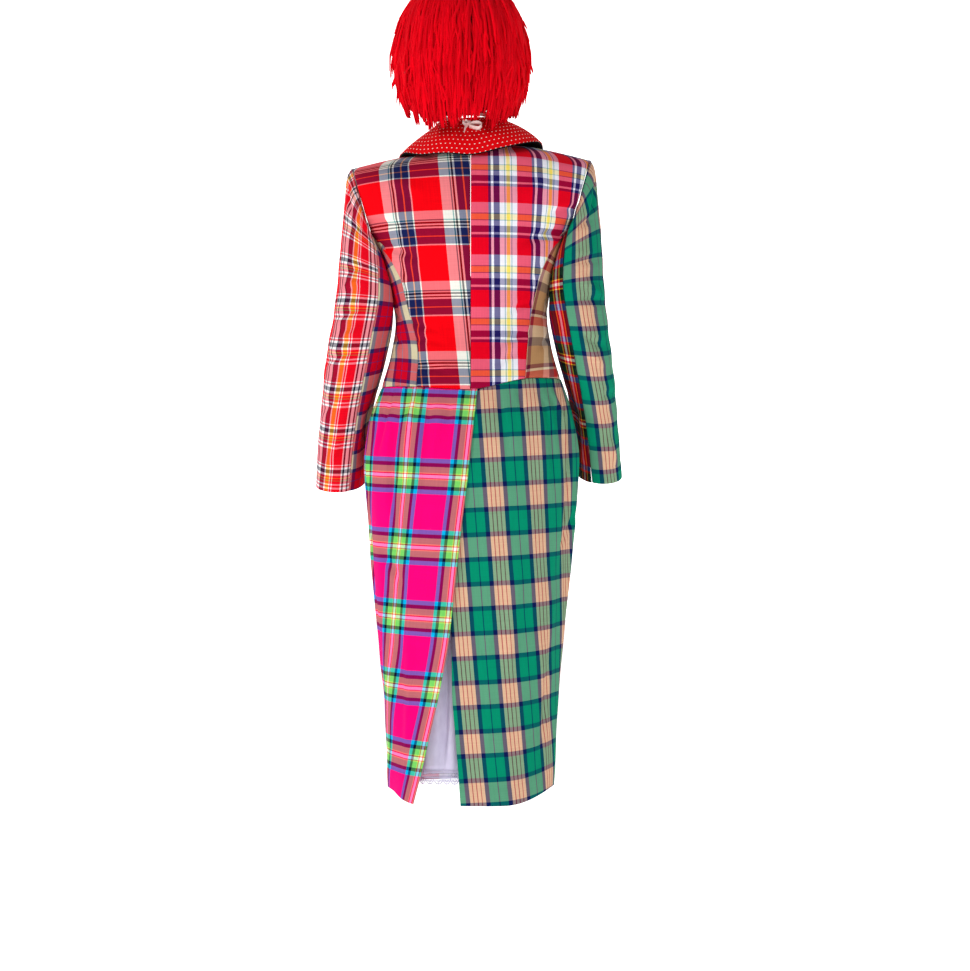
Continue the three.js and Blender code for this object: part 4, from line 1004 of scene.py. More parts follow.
def side_panel(side, settings):
    node, slot = ("side_left", "coral_check") if side > 0 else ("side_right", "tan_check")
    start = armhole_angle(armhole_at(side, JUNCTION, True)[2])
    u = shares(26, 0.012, 0.03)[None]
    v = np.linspace(0, 1, 64)[:, None]
    top = mix(JUNCTION, UNDERARM, u)
    height = mix(WAIST, top, v)
    seam = seam_angle(side, height)
    top_seam = seam_angle(side, float(JUNCTION))
    off = on_armhole(side, mix(start, 180, u)) - on_coat(side, mix(top_seam, 90, u), top)
    angle = mix(seam, 90, u)
    grid = on_coat(side, angle, height) + off * blend_at(height, top)[..., None]
    move = body_relief(side, angle, height, settings.crease_depth) * smooth((top - height) / 12)
    cloth = arcs(grid, 1), arcs(grid, 0)[:, :1]
    material = plaid_cotton(slot, settings)
    return coat_piece(node, slot, grid, from_axis(grid), "start end bottom top", move, material, cloth)


def front_panel(side, settings):
    node, slot = ("front_left", "ivory_plaid") if side > 0 else ("front_right", "rose_plaid")
    u = shares(48, 0.006, 0.014)[None]
    below = np.linspace(WAIST, UNDERARM, 56)
    height = np.concatenate([below, np.linspace(UNDERARM, SHOULDER_TOP, 50)[1:]])[:, None]
    first = angle_at(front_edge(height), height, False)
    upper = np.maximum(height, UNDERARM)
    armhole = armhole_at(side, upper, False)
    edge = angle_at(np.abs(armhole[..., 0]), upper, False)
    off = (armhole - on_coat(side, edge, upper)) * (height > UNDERARM)[..., None]
    angle = mix(first, edge, u)
    grid = on_coat(side, angle, height) + off * smooth((u - 0.4) / 0.6)[..., None]
    near_top = smooth((height + 34) / 36)[..., None]
    grid = mix(grid, on_shoulder(side, mix(NECK_X, SHOULDER_X, u)), near_top)
    if side > 0:
        lapped = smooth((BREAK + 50 - grid[..., 2]) / 20) * smooth((34 - grid[..., 0]) / 24)
        grid[..., 1] += LAP * lapped
    move = body_relief(side, angle, height, settings.crease_depth) * smooth(u / 0.12) * (1 - near_top[..., 0])
    cloth = arcs(grid, 1), arcs(grid, 0)[:, -1:]
    material = plaid_cotton(slot, settings)
    return coat_piece(node, slot, grid, from_axis(grid), "end bottom top", move, material, cloth)


# ---- Skirt of the coat ----
HEM_DEPTH = 34  # height of the turned-up hem
LEVELLED = {1: 0.9, -1: 0.45}  # how level the cloth's rows stay where the hem rises to the sides
# A thread of the right back's cloth, from hem to waist.
GREEN_LINE = table("height x", (-1143, 116), (-421, 66))


def fold_at(folds, angle, height):
    """How far the large folds move a point of the skirt outwards."""
    width = column(SKIRT, "width", height)
    total = np.zeros(np.broadcast(angle, height).shape)
    for top_angle, bottom_angle, top, bottom, spread, depth in folds:
        down = (top - height) / (top - bottom)
        inside = (down >= 0) & (down <= 1)
        away = np.radians(angle - mix(top_angle, bottom_angle, down)) * width
        total += inside * depth * np.exp(-((away / spread) ** 2)) * smooth(down * 4) * smooth((1 - down) * 3)
    return total


def skirt_panel(node, slot, side, is_back, edge_x, layer, settings):
    u = shares(88, 0.004, 0.009)[None]
    v = shares(120, 0.003, 0.006)[:, None]
    guess = mix(HEM_BACK, WAIST, v)
    first = angle_at(edge_x(guess), guess, is_back)
    angle = mix(first, 90, u)
    height = guess + (HEM_SIDE[side] - HEM_BACK) * smooth((angle - 24) / 56) * (1 - v) ** 2
    grid = on_coat(side, angle, height)
    out = unit(grid * (1, 1, 0))
    grid = grid + out * (fold_at(SKIRT_FOLDS[node], angle, height) + layer(u, v, grid))[..., None]
    across, up = arcs(grid, 1), arcs(grid, 0)
    flat_angle = angle * BODY_ARC
    creases = relief(scaled(SKIRT_CREASES[node], BODY_ARC), flat_angle, height)
    puckers = ripple(flat_angle, 0 * height, len(node), 16, 0.8) * np.exp(-(up[-1:] - up) / 16)
    hem = -0.7 * np.exp(-(((up - HEM_DEPTH) / 1.6) ** 2)) + 0.4 * smooth((HEM_DEPTH - up) / 3)
    move = settings.crease_depth * creases + puckers + hem + ripple(flat_angle, height, 11 + side, 120, 0.8)
    move = move * smooth(u / 0.05 + 0.3)
    below_waist = (up - up[-1:])[:, :1]
    if node == "skirt_back_right":
        x = column(GREEN_LINE, "x", guess)[:, 0]
        rows = zip(x, grid[..., 0], across)
        across = across - np.array([np.interp(at, side * row, arc) for at, row, arc in rows])[:, None]
    material = plaid_cotton(slot, settings)
    level = LEVELLED[side] * (height - guess)
    cloth = across, below_waist + level + sum(lift_at(grid, True))
    return coat_piece(node, slot, grid, from_axis(grid), "end top", move, material, cloth)


def vent_left(height):
    return column(VENT_EDGES, "left", height)


def vent_right(height):
    return -column(VENT_EDGES, "right", height)


def lift_of_left(u, v, grid):
    return VENT_LIFT * (1 - v) ** 2 * smooth(1 - u * 1.6)


def sink_of_right(u, v, grid):
    return -LAP * smooth((grid[..., 0] + 32) / 18)


def sink_of_front(u, v, grid):
    return -LAP * smooth((34 - grid[..., 0]) / 24)


def no_layer(u, v, grid):
    return 0 * v


# ---- Sleeves ----


def on_sleeve(side, section, angle):
    section, angle = np.broadcast_arrays(np.asarray(section, float), np.asarray(angle, float))

    def at(name):
        return column(SLEEVE, name, section, key="section")

    across, deep = np.cos(np.radians(angle)), np.sin(np.radians(angle))
    y = at("middle_y") + deep * np.where(deep > 0, at("back"), at("front"))
    outer_x = at("outer_x") + (LEFT_SPREAD * smooth((section - 3) / 3) if side > 0 else 0)
    x = mix(at("inner_x"), outer_x, (1 + across) / 2)
    z = mix(at("inner_z"), at("outer_z"), (1 + across) / 2) - deep * at("tilt")
    depth = np.where(y > 0, body("back", z), body("front", z))
    share = np.minimum(1, np.abs(y) / depth)
    clearance = mix(SLEEVE_CLEARANCE, SKIRT_CLEARANCE, smooth((-z - 380) / 80))
    body_x = reach(body("width", z), 2.2, share) + clearance
    pressed = (x + body_x + np.sqrt((x - body_x) ** 2 + 16)) / 2
    return points(side * mix(x, pressed, smooth((section - 0.2) / 0.5)), y, z)


CUFF_DEPTH = 30  # height of the turned-up cuff
# The cotton of each sleeve panel, from its side and whether it is the upper one.
SLEEVE_SLOTS = {
    (1, True): "ivory_plaid", (1, False): "coral_check", (-1, True): "green_check", (-1, False): "tartan",
}


def sleeve_panel(side, is_upper, settings):
    name = "left" if side > 0 else "right"
    node = f"sleeve_{name}_{'upper' if is_upper else 'under'}"
    slot = SLEEVE_SLOTS[side, is_upper]
    u = shares(54 if is_upper else 38, 0.01, 0.022)[None]
    section = (9 * shares(96, 0.003, 0.006))[:, None]
    back = column(SLEEVE_SEAMS, "back", section, key="section")
    front = column(SLEEVE_SEAMS, "front", section, key="section")
    angle = mix(front - 360, back, u) if is_upper else mix(back, front, u)
    grid = on_sleeve(side, section, angle)
    span = ARMHOLE["top_z"] - ARMHOLE["bottom_z"]
    lean = ARMHOLE["bottom_x"] - ARMHOLE["top_x"]
    out_of_armhole = unit(np.array([side * span, 0, lean], float)) * SEAM
    grid = grid + out_of_armhole * (1 - smooth(section / 0.6))[..., None]
    middle = (on_sleeve(side, section, 0) + on_sleeve(side, section, 180)) / 2
    outward = grid - middle
    across, up = arcs(grid, 1), arcs(grid, 0)
    creases = scaled(SLEEVE_CREASES[side], SLEEVE_ARC)
    down = up[:, u.size // 2][:, None]
    once_round = 360 * SLEEVE_ARC
    turned = [
        (x0 + shift, y0, x1 + shift, y1, *rest)
        for x0, y0, x1, y1, *rest in creases
        for shift in (0, once_round)
    ]
    folds = relief(turned, angle * SLEEVE_ARC, down)
    pressed = smooth(np.abs(((angle + 360) % 360 - 180) / 50))
    cuff = -0.6 * np.exp(-(((up[-1:] - up - CUFF_DEPTH) / 1.6) ** 2))
    puckers = ripple(angle * SLEEVE_ARC, 0 * down, 3 + side, 18, 0.8) * np.exp(-down / 14)
    move = settings.crease_depth * folds * smooth(down / 20) * pressed + cuff + puckers
    move = move + ripple(angle * SLEEVE_ARC, down, 21 + side, 80, 0.7) * pressed
    from_back = across[:, -1:] - across if is_upper else across
    material = plaid_cotton(slot, settings)
    seams = "start end bottom"
    return coat_piece(node, slot, grid, outward, seams, move, material, (from_back, -down))


# ---- Collar ----


def collar_lines(t):
    lines = {}
    for name in ("seam", "roll", "edge"):
        left = np.stack([COLLAR[f"{name}_{axis}"] for axis in "xyz"], -1)
        right = left[1:][::-1] * (-1, 1, 1)
        if name == "edge":
            left[:, 2] -= LEFT_DROP * smooth((left[:, 0] - 40) / 50) * smooth((left[:, 1] + 70) / 60)
        lines[name] = curve_through(np.concatenate([right, left]), t)
    return lines


def collar_grid(along, across):
    """Points of the collar: up the stand, over the roll and down the fall."""
    lines = collar_lines(along)
    seam, roll, edge = lines["seam"], lines["roll"], lines["edge"]

    def near(p):
        return roll + unit(p - roll) * np.minimum(ROLL_DEPTH, lengths(p - roll) / 2)

    away = unit(edge * (1, 1, 0) + (0, 0, 30) - roll * (1, 1, 0)) * FALL_BULGE
    outer = near(edge)
    fall = [mix(outer, edge, s) + away * np.sin(np.pi * s) for s in (0.35, 0.7)]
    corners = np.stack([seam, near(seam), roll, outer, *fall, edge])
    return np.stack([curve_through(corners[:, k], across) for k in range(len(along))])


def collar(settings):
    along = np.linspace(0, 1, 220)
    across = np.concatenate([np.linspace(0, 0.5, 22), np.linspace(0.5, 1, 26)[1:]])
    grid = collar_grid(along, across)
    from_neck = points(grid[..., 0], grid[..., 1] + 20, 25) * (across > 0.6)[None, :, None]
    normals = normals_of(grid, from_neck)
    width, length = arcs(grid, 1), arcs(grid, 0)
    middle = length[:, 30][:, None]
    from_edge = width[:, -1:] - width
    stitched = -0.5 * np.exp(-(((from_edge - 4) / 1.2) ** 2))
    uneven = ripple(middle, width, 31, 70, 0.7) * smooth((across - 0.5) / 0.2)
    grid = lifted(grid + normals * (stitched + uneven)[..., None])
    centred = middle - middle[len(along) // 2]
    cloth = np.stack(np.broadcast_arrays(centred, from_edge - 4), -1)
    piece = shell("cloth_collar", grid, normals, COLLAR_CLOTH, dotted_cotton(settings), cloth)
    stand_for(piece, "dotted_red", "collar")


def under_collar():
    along = np.linspace(0.17, 0.85, 150)
    across = np.linspace(0.56, 1, 24)
    grid = collar_grid(along, across)
    from_neck = points(grid[..., 0], grid[..., 1] + 20, 25)
    normals = normals_of(grid, from_neck)
    # A near-black sheet behind the collar's fall. Its outer edge reaches 1.5 mm past the collar's edge, so a
    # dark rim shows under it.
    beyond = unit(grid[:, -1] - grid[:, -2]) * 1.5
    grid[:, -1] += beyond
    grid = lifted(grid - normals * (COLLAR_CLOTH + SEAM))
    cloth = np.stack([arcs(grid, 0), arcs(grid, 1)], -1)
    piece = shell("black_sheet_under_collar", grid, normals, UNDER_SHEET, under_collar_black(), cloth)
    stand_for(piece, "black_felt", "under_collar")


# ---- Buttons ----
# A stitch over the button's face: how far out towards its hole, and how deep.
STITCH_PATH = [(1, 1.2), (1, -1.6), (0.6, -2.9), (0, -3.2), (-0.6, -2.9), (-1, -1.6), (-1, 1.2)]


def button_mesh(name, material):
    """A four-hole button with a rim, its face towards -Y."""
    rim = [BUTTON_RADIUS - inside for inside in (3.4, 2.4, 1.2, 0.3, 0, 0, 0.8)]
    radii = np.array([0, 2.2, 5.4, *rim, 0])
    heights = np.array([2.3, 2.3, 2.4, 2.7, 3.3, 3.6, 3.3, 2.6, 1.2, 0.2, 0])
    turn = np.linspace(0, 2 * np.pi, 48, endpoint=False)
    reach, depth = radii[1:-1, None], -heights[1:-1, None]
    ring = points(reach * np.cos(turn), depth + 0 * turn, reach * np.sin(turn))
    verts = np.concatenate([ring.reshape(-1, 3), [(0, -heights[0], 0), (0, -heights[-1], 0)]])
    n, last = len(turn), len(radii) - 3
    faces = []
    for i in range(n):
        k = (i + 1) % n
        faces.append([i, k, n * (last + 1)])
        faces.append([last * n + k, last * n + i, n * (last + 1) + 1])
        faces += [[j * n + k, j * n + i, (j + 1) * n + i, (j + 1) * n + k] for j in range(last)]
    piece = mesh_object(name, verts, faces, material)
    hole = 1.15
    paths = [[(x, -6, z), (x, 2, z)] for x in (-2, 2) for z in (-2, 2)]
    drill_verts, drill_faces = tubes(paths, hole, (1, 0, 0), sides=12)
    drill = mesh_object(f"{name}_drill", drill_verts, drill_faces, material)
    cut = piece.modifiers.new("holes", "BOOLEAN")
    cut.operation, cut.object, cut.solver = "DIFFERENCE", drill, "EXACT"
    depsgraph = bpy.context.evaluated_depsgraph_get()
    drilled = bpy.data.meshes.new_from_object(piece.evaluated_get(depsgraph))
    piece.modifiers.clear()
    piece.data = drilled
    bpy.data.objects.remove(drill)
    return piece


def buttons(settings):
    resin, thread = moulded_button(settings), sewing_thread()
    for number, height in enumerate(BUTTON_HEIGHTS, 1):
        above, below = (on_coat(-1, 180, height + step)[1] for step in (BUTTON_RADIUS, -BUTTON_RADIUS))
        tilt = np.arctan2(below - above, 2 * BUTTON_RADIUS)
        turned = np.array([[1, 0, 0], [0, np.cos(tilt), -np.sin(tilt)], [0, np.sin(tilt), np.cos(tilt)]])
        place = np.array([0, (above + below) / 2 - BUTTON_SHANK, height])
        piece = button_mesh(f"resin_button_{number}", resin)
        corners = np.array([v.co for v in piece.data.vertices]) / MM @ turned.T + place
        piece.data.vertices.foreach_set("co", (corners * MM).ravel())
        stand_for(piece, "red_button", f"button_{number}")
        stitches = [
            [(x * out, y, z * out) for out, y in STITCH_PATH] for x, z in ((2, 2), (2, -2))
        ]
        verts, faces = tubes(stitches, 0.45, (0.2, 0.1, 1), sides=6)
        sewn = mesh_object(f"button_thread_{number}", verts @ turned.T + place, faces, thread)
        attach(sewn, "root")


# ---- Petticoat ----


# Folds of the hanging cotton: (angle, height) at both ends, then width, depth and bend. Widths and bends
# are degrees, depths millimetres.
PETTICOAT_FOLDS = [
    (19, -860, 26, -1140, 3.2, -6.5, 2),
    (33, -900, 40, -1140, 3.6, -6, -2),
    (47, -820, 55, -1140, 4, -6.5, 2),
    (8, -900, 11, -1140, 3, -5, 1),
    (70, -840, 78, -1140, 4, -5, -2),
    (-12, -880, -16, -1140, 3.4, -6, 1),
    (-34, -840, -38, -1140, 4, -5, 2),
    (-60, -900, -66, -1140, 4, -6, -2),
    (-88, -860, -94, -1140, 4, -5, 2),
    (104, -880, 110, -1140, 4, -6, 2),
    (138, -860, 144, -1140, 4, -5, -2),
    (-120, -900, -126, -1140, 4, -6, 2),
    (-154, -850, -160, -1140, 4, -5, -2),
]


def on_petticoat(angle, height):
    """The petticoat with soft, uneven waves below and fine gathers under its waistband."""
    angle, height = np.broadcast_arrays(np.asarray(angle, float), np.asarray(height, float))
    a = np.radians(angle)
    width = column(PETTICOAT, "width", height)
    depth = np.where(np.cos(a) > 0, column(PETTICOAT, "back", height), column(PETTICOAT, "front", height))
    loose = smooth((-height - 420) / 600)
    waves = WAVE_DEPTH * smooth((-height - 700) / 300) * np.cos(WAVE_COUNT * a)
    uneven = 2.2 * np.sin(7 * a + 0.8 + height / 260) + 1.6 * np.sin(17 * a + 2 + height / 190)
    uneven = uneven + np.sin(29 * a)
    folds = relief(PETTICOAT_FOLDS, (angle + 180) % 360 - 180, height)
    gathers = 1.1 * np.sin(61 * a + 0.7 * np.sin(5 * a)) * np.exp(-(BAND_BOTTOM - height) / 45)
    p = points(width * np.sin(a), depth * np.cos(a), height)
    return p + unit(p * (1, 1, 0)) * (waves + loose * uneven * 0.8 + gathers + folds)[..., None]


def ring_piece(name, angles, heights, thickness, material, place):
    """A closed tube of cloth round the body."""
    grid = place(angles[None], heights[:, None])
    normals = normals_of(grid, grid * (1, 1, 0), ring=True)
    loop = np.concatenate([grid, grid[:, :1]], 1)
    cloth = np.stack([arcs(loop, 1), np.broadcast_to(arcs(loop, 0)[:, :1], loop.shape[:2])], -1)
    return shell(name, grid, normals, thickness, material, cloth, ring=True)


def petticoat(settings):
    cotton = white_cotton(settings, "cotton_lawn_white", 35.0)
    around = np.linspace(0, 360, 420, endpoint=False)
    heights = np.linspace(LACE_TOP + SEAM, BAND_BOTTOM - SEAM, 90)
    skirt = ring_piece("lawn_petticoat", around, heights, COTTON, cotton, on_petticoat)
    stand_for(skirt, "white_cotton", "petticoat")
    band_heights = np.linspace(BAND_BOTTOM, BAND_TOP, 14)

    def on_band(angle, height):
        p = on_petticoat(angle, height)
        bulge = 1.4 * np.sin(np.pi * (height - BAND_BOTTOM) / (BAND_TOP - BAND_BOTTOM))
        gather = 0.7 * np.sin(np.radians(angle) * 74 + height / 9)
        return p + unit(p * (1, 1, 0)) * (bulge + gather)[..., None]

    band = ring_piece("elastic_waistband", around, band_heights, COTTON * 2, cotton, on_band)
    stand_for(band, "white_cotton", "petticoat_waistband")
    edging = lace(settings)


LACE_REACH = 111  # the radius of the hem that a scallop's width is worked out from
NET_LOWEST = -1140  # the petticoat's shape is not read below this height


def lace(settings):
    """Cotton lace edging: a footing of ladder stitch, a net and scallops with a ring in each. Its threads
    are drawn coarser than real ones, so that they show."""
    count = settings.scallops
    step = 360 / count
    pitch = 2 * np.pi * LACE_REACH / count
    foot, net_bottom = LACE_TOP - 3.4, LACE_TOP - 12.5

    def placed(x, z):
        """Threads on the hem from their places in one scallop, repeated round."""
        x, z = np.broadcast_arrays(np.asarray(x, float), np.asarray(z, float))
        angle = (np.arange(count)[:, None] + x[None] / pitch) * step
        return on_petticoat(angle, np.maximum(z, NET_LOWEST)[None] + 0 * angle)

    def arc(half, top, bottom, steps):
        turn = np.linspace(0, np.pi, steps)
        return half * np.cos(turn), top - (top - bottom) * np.sin(turn)

    half = pitch / 2
    turn = np.linspace(0, 2 * np.pi, 11)
    patterns = [
        (*arc(half, net_bottom, LACE_BOTTOM + 0.8, 13), 1.1),
        (*arc(half * 0.6, net_bottom - 1, LACE_BOTTOM + 4.6, 11), 0.75),
        (1.9 * np.cos(turn), net_bottom - 4.2 + 1.9 * np.sin(turn), 0.7),
        (np.linspace(-half, half, 5), foot + 0 * np.linspace(0, 1, 5), 1.0),
        (np.linspace(-half, half, 5), LACE_TOP - 0.6 + 0 * np.linspace(0, 1, 5), 1.0),
        (np.linspace(-half, half, 5), net_bottom + 0 * np.linspace(0, 1, 5), 0.9),
    ]
    for share in (-0.5, -0.25, 0, 0.25):
        start = share * pitch
        patterns.append((np.linspace(start, start + 0.25 * pitch, 3), np.linspace(LACE_TOP, foot, 3), 0.6))
        patterns.append((np.linspace(start, start + 0.5 * pitch, 4), np.linspace(foot, net_bottom, 4), 0.62))
        patterns.append((np.linspace(start + 0.5 * pitch, start, 4), np.linspace(foot, net_bottom, 4), 0.62))
    for turned in (0.22, 0.5, 0.78):
        a = np.pi * turned
        inner_drop = (net_bottom - 1 - LACE_BOTTOM - 4.4) * np.sin(a)
        outer_drop = (net_bottom - LACE_BOTTOM - 0.5) * np.sin(a)
        inner = np.array([half * 0.66 * np.cos(a), net_bottom - 1 - inner_drop])
        outer = np.array([half * np.cos(a), net_bottom - outer_drop])
        line = mix(inner, outer, np.linspace(0, 1, 3)[:, None])
        patterns.append((line[:, 0], line[:, 1], 0.6))
    parts = []
    for x, z, radius in patterns:
        paths = placed(x, z)
        parts.append(tubes(paths, radius, unit(paths * (1, 1, 0)), sides=4))
    verts, faces = joined(parts)
    # The lace shares the petticoat's cotton and its painted shade, which makes the threads show on the white
    # floor.
    piece = mesh_object("cotton_lace", verts, faces, white_cotton(settings, "cotton_lace_white", 300.0))
    return stand_for(piece, "lace", "petticoat_lace")


# ---- Wig ----


def on_wig(angle, height, inset):
    values = (np.asarray(value, float) for value in (angle, height, inset))
    angle, height, inset = np.broadcast_arrays(*values)
    a = np.radians(angle)
    width = np.maximum(3, column(WIG_SHAPE, "width", height) - inset)
    back = np.maximum(3, column(WIG_SHAPE, "back", height) - inset)
    front = np.maximum(3, column(WIG_SHAPE, "front", height) - inset)
    depth = np.where(np.cos(a) > 0, back, front)
    z = height - inset * smooth((height - 200) / 110)
    return points(WIG["x"] + width * np.sin(a), WIG["y"] + depth * np.cos(a), z)


GAP_ANGLE = -26  # where shorter strands at the back leave a dark gap
BOW_ANGLE = -9  # where they leave the ribbon's bow free
LOCKS_LOW = {"back": 21, "neck": 58}  # height of the locks' ends
FRINGE_ANGLE = 36  # half the width of the fringe over the face


def turned_apart(a, b):
    """The angle between two directions, in degrees."""
    return np.abs((a - b + 180) % 360 - 180)


def lock_ends(locks, rng):
    """Where the locks end: low at the back, a little higher beside the neck, and above the face in front."""
    from_back = turned_apart(locks, 0)
    low = mix(LOCKS_LOW["back"], LOCKS_LOW["neck"], smooth((from_back - 42) / 40))
    low = low + 30 * np.exp(-((turned_apart(locks, GAP_ANGLE) / 5) ** 2))
    low = low + 9 * np.exp(-((turned_apart(locks, BOW_ANGLE) / 9) ** 2))
    fringe = FACE["top"] + 2
    low = np.where(from_back > 180 - FRINGE_ANGLE, fringe, low)
    return low + rng.uniform(0, 1, locks.shape) ** 1.4 * np.where(low < 100, 24, 14)


def wig(settings):
    """Strands in rows from the crown down. Neighbours gather in locks, and short ones stick out."""
    rng = np.random.default_rng(8)
    heights = np.concatenate([np.linspace(315, 290, 30), np.linspace(288, 20, 90)])
    radius = column(WIG_SHAPE, "back", heights)
    steps = np.hypot(np.diff(heights), np.diff(radius))
    fall = np.concatenate([[0], np.cumsum(steps)])
    layers, per_layer, joints = settings.layers, settings.strands_per_layer, 9
    starts = np.repeat(np.linspace(0, 0.66, layers) ** 1.15 * fall[-1], per_layer)
    number = np.arange(layers * per_layer)
    angle = (number % per_layer + rng.uniform(-0.5, 0.5, number.size)) * 360 / per_layer
    start = starts + rng.uniform(-9, 9, number.size)

    lock_count = settings.locks
    locks = (np.arange(lock_count) + rng.uniform(-0.35, 0.35, lock_count)) * 360 / lock_count
    of_lock = np.argmin(turned_apart(angle[:, None], locks[None]), axis=1)
    ends = lock_ends(locks, rng)[of_lock] + rng.uniform(0, 1, number.size) ** 2 * 22
    end = np.interp(-ends, -heights, fall)
    short = rng.uniform(0, 1, number.size) < 0.42
    end = np.where(short, mix(start, end, rng.uniform(0.45, 0.95, number.size)), end)
    keep = end - start > 28
    angle, start, end, short, of_lock = (values[keep] for values in (angle, start, end, short, of_lock))
    count = angle.size

    t = np.linspace(0, 1, joints)[None]
    along = mix(start[:, None], end[:, None], t)
    height = np.interp(along, fall, heights)
    waves, phase = rng.uniform(1, 3.6, (count, 1)), rng.uniform(0, 2 * np.pi, (count, 1))
    sway = rng.normal(0, 4.4, (count, 1)) * np.sin(waves * t * np.pi + phase)
    sway = sway + rng.normal(0, 4.5, (count, 1)) * t
    turn = angle[:, None] + np.degrees(sway / np.maximum(40, column(WIG_SHAPE, "width", height)))
    to_lock = (locks[of_lock] - angle + 180) % 360 - 180
    gathered = 0.62 * smooth((fall[-1] - along) / -fall[-1] + 1.15)
    turn = turn + to_lock[:, None] * gathered
    lock_depth = rng.uniform(0, 4.5, lock_count)[of_lock][:, None]
    depth = rng.uniform(1, 7, (count, 1)) + lock_depth * gathered + 1.6 * np.sin(waves * t * 5 + phase)
    flare = rng.uniform(0, 1, (count, 1)) ** 2 * np.where(short, 15, 4)[:, None]
    depth = depth + 2.5 * (1 - t) - flare * t**3
    paths = on_wig(turn, height, np.maximum(depth, -8))
    tip = np.where(t > 0.92, 0.35, 1 - 0.25 * (1 - t) ** 4)
    radii = settings.yarn * 500 * tip * rng.uniform(0.8, 1.1, (count, 1))
    toward = points(np.cos(np.radians(turn)), -np.sin(np.radians(turn)), 0 * turn)
    verts, faces = tubes(paths, radii, toward, sides=5)
    # Painted shade: deeper strands and strands towards the edges of their locks are darker. The random factor
    # is each strand's own tone.
    off_middle = np.abs(to_lock[:, None]) / (180 / lock_count)
    tone = np.clip(1.1 - depth / 14, 0.15, 1) * (1 - 0.3 * off_middle * gathered)
    tone = tone * rng.uniform(0.75, 1, (count, 1))
    shade = np.repeat(tone.ravel(), 5)
    under_verts, under_faces = yarn_ground()
    everything = joined([(verts, faces), (under_verts, under_faces)])
    # Painted shade: the wall under the strands is painted dark.
    shade = np.concatenate([shade, np.full(len(under_verts), 0.12)])
    piece = mesh_object("yarn_strands", *everything, spun_yarn(settings), shade=shade)
    stand_for(piece, "red_yarn", "wig_yarn", "wig_crown")


def yarn_ground():
    """The deepest strands, as one wall under the others, open at the face. A shade of 0.12 paints it a nearly
    black red, as painted shade in the gaps between locks.
    """
    angles = np.linspace(0, 360, 97)[:-1]
    heights = np.concatenate([np.linspace(46, 280, 44), [290, 298, 304, 309, 312, 314]])
    grids = [on_wig(angles[None], heights[:, None], inset) for inset in (10.5, 15.5)]
    rows, columns = grids[0].shape[:2]
    verts = np.concatenate([g.reshape(-1, 3) for g in grids])
    centre = grids[0] - (WIG["x"], 0, 0)
    from_back = np.minimum(angles, 360 - angles)
    low = mix(46, 84, smooth((from_back - 24) / 40))
    faces = []
    open_at = (np.abs(centre[..., 0]) < FACE["half_width"] + 4) & (centre[..., 1] < FACE["back"])
    open_at &= heights[:, None] < FACE["top"] + 6
    open_at |= heights[:, None] < low
    shown = ~(open_at[:-1] | open_at[1:])
    shown &= np.roll(shown, -1, 1)
    for j in range(rows - 1):
        for i in range(columns):
            if not shown[j, i]:
                continue
            k = (i + 1) % columns
            quad = [j * columns + i, j * columns + k, (j + 1) * columns + k, (j + 1) * columns + i]
            faces += [quad, [q + rows * columns for q in quad[::-1]]]
            for beside, a, b in (((j - 1, i), 0, 1), ((j + 1, i), 2, 3), ((j, i - 1), 3, 0), ((j, k), 1, 2)):
                row, cell = beside
                if 0 <= row < rows - 1 and shown[row, cell % columns]:
                    continue
                if row >= rows - 1:
                    continue
                faces.append([quad[b], quad[a], quad[a] + rows * columns, quad[b] + rows * columns])
    top = [(rows - 1) * columns + i for i in range(columns)]
    faces += [top, [q + rows * columns for q in top[::-1]]]
    used = sorted({q for face in faces for q in face})
    new_number = {old: new for new, old in enumerate(used)}
    return verts[used], [[new_number[q] for q in face] for face in faces]


def cap(settings):
    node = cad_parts["wig_cap"]
    node.material_slots[0].material = knitted_cap(settings)


# ---- Ribbon ----


def ribbon_along(corners, width, steps=30):
    """A strip of ribbon whose middle follows the corners, flat to the collar behind it."""
    middle = curve_through(np.array(corners, float), np.linspace(0, 1, steps))
    shares_across = np.linspace(-0.5, 0.5, 6)
    cupped = 0.7 * (1 - (2 * shares_across) ** 2)
    across, outward = np.array([0, 0.7, 0.7]), np.array([0, 0.7, -0.7])
    return middle[:, None] + across * (shares_across * width)[:, None] + outward * cupped[:, None]


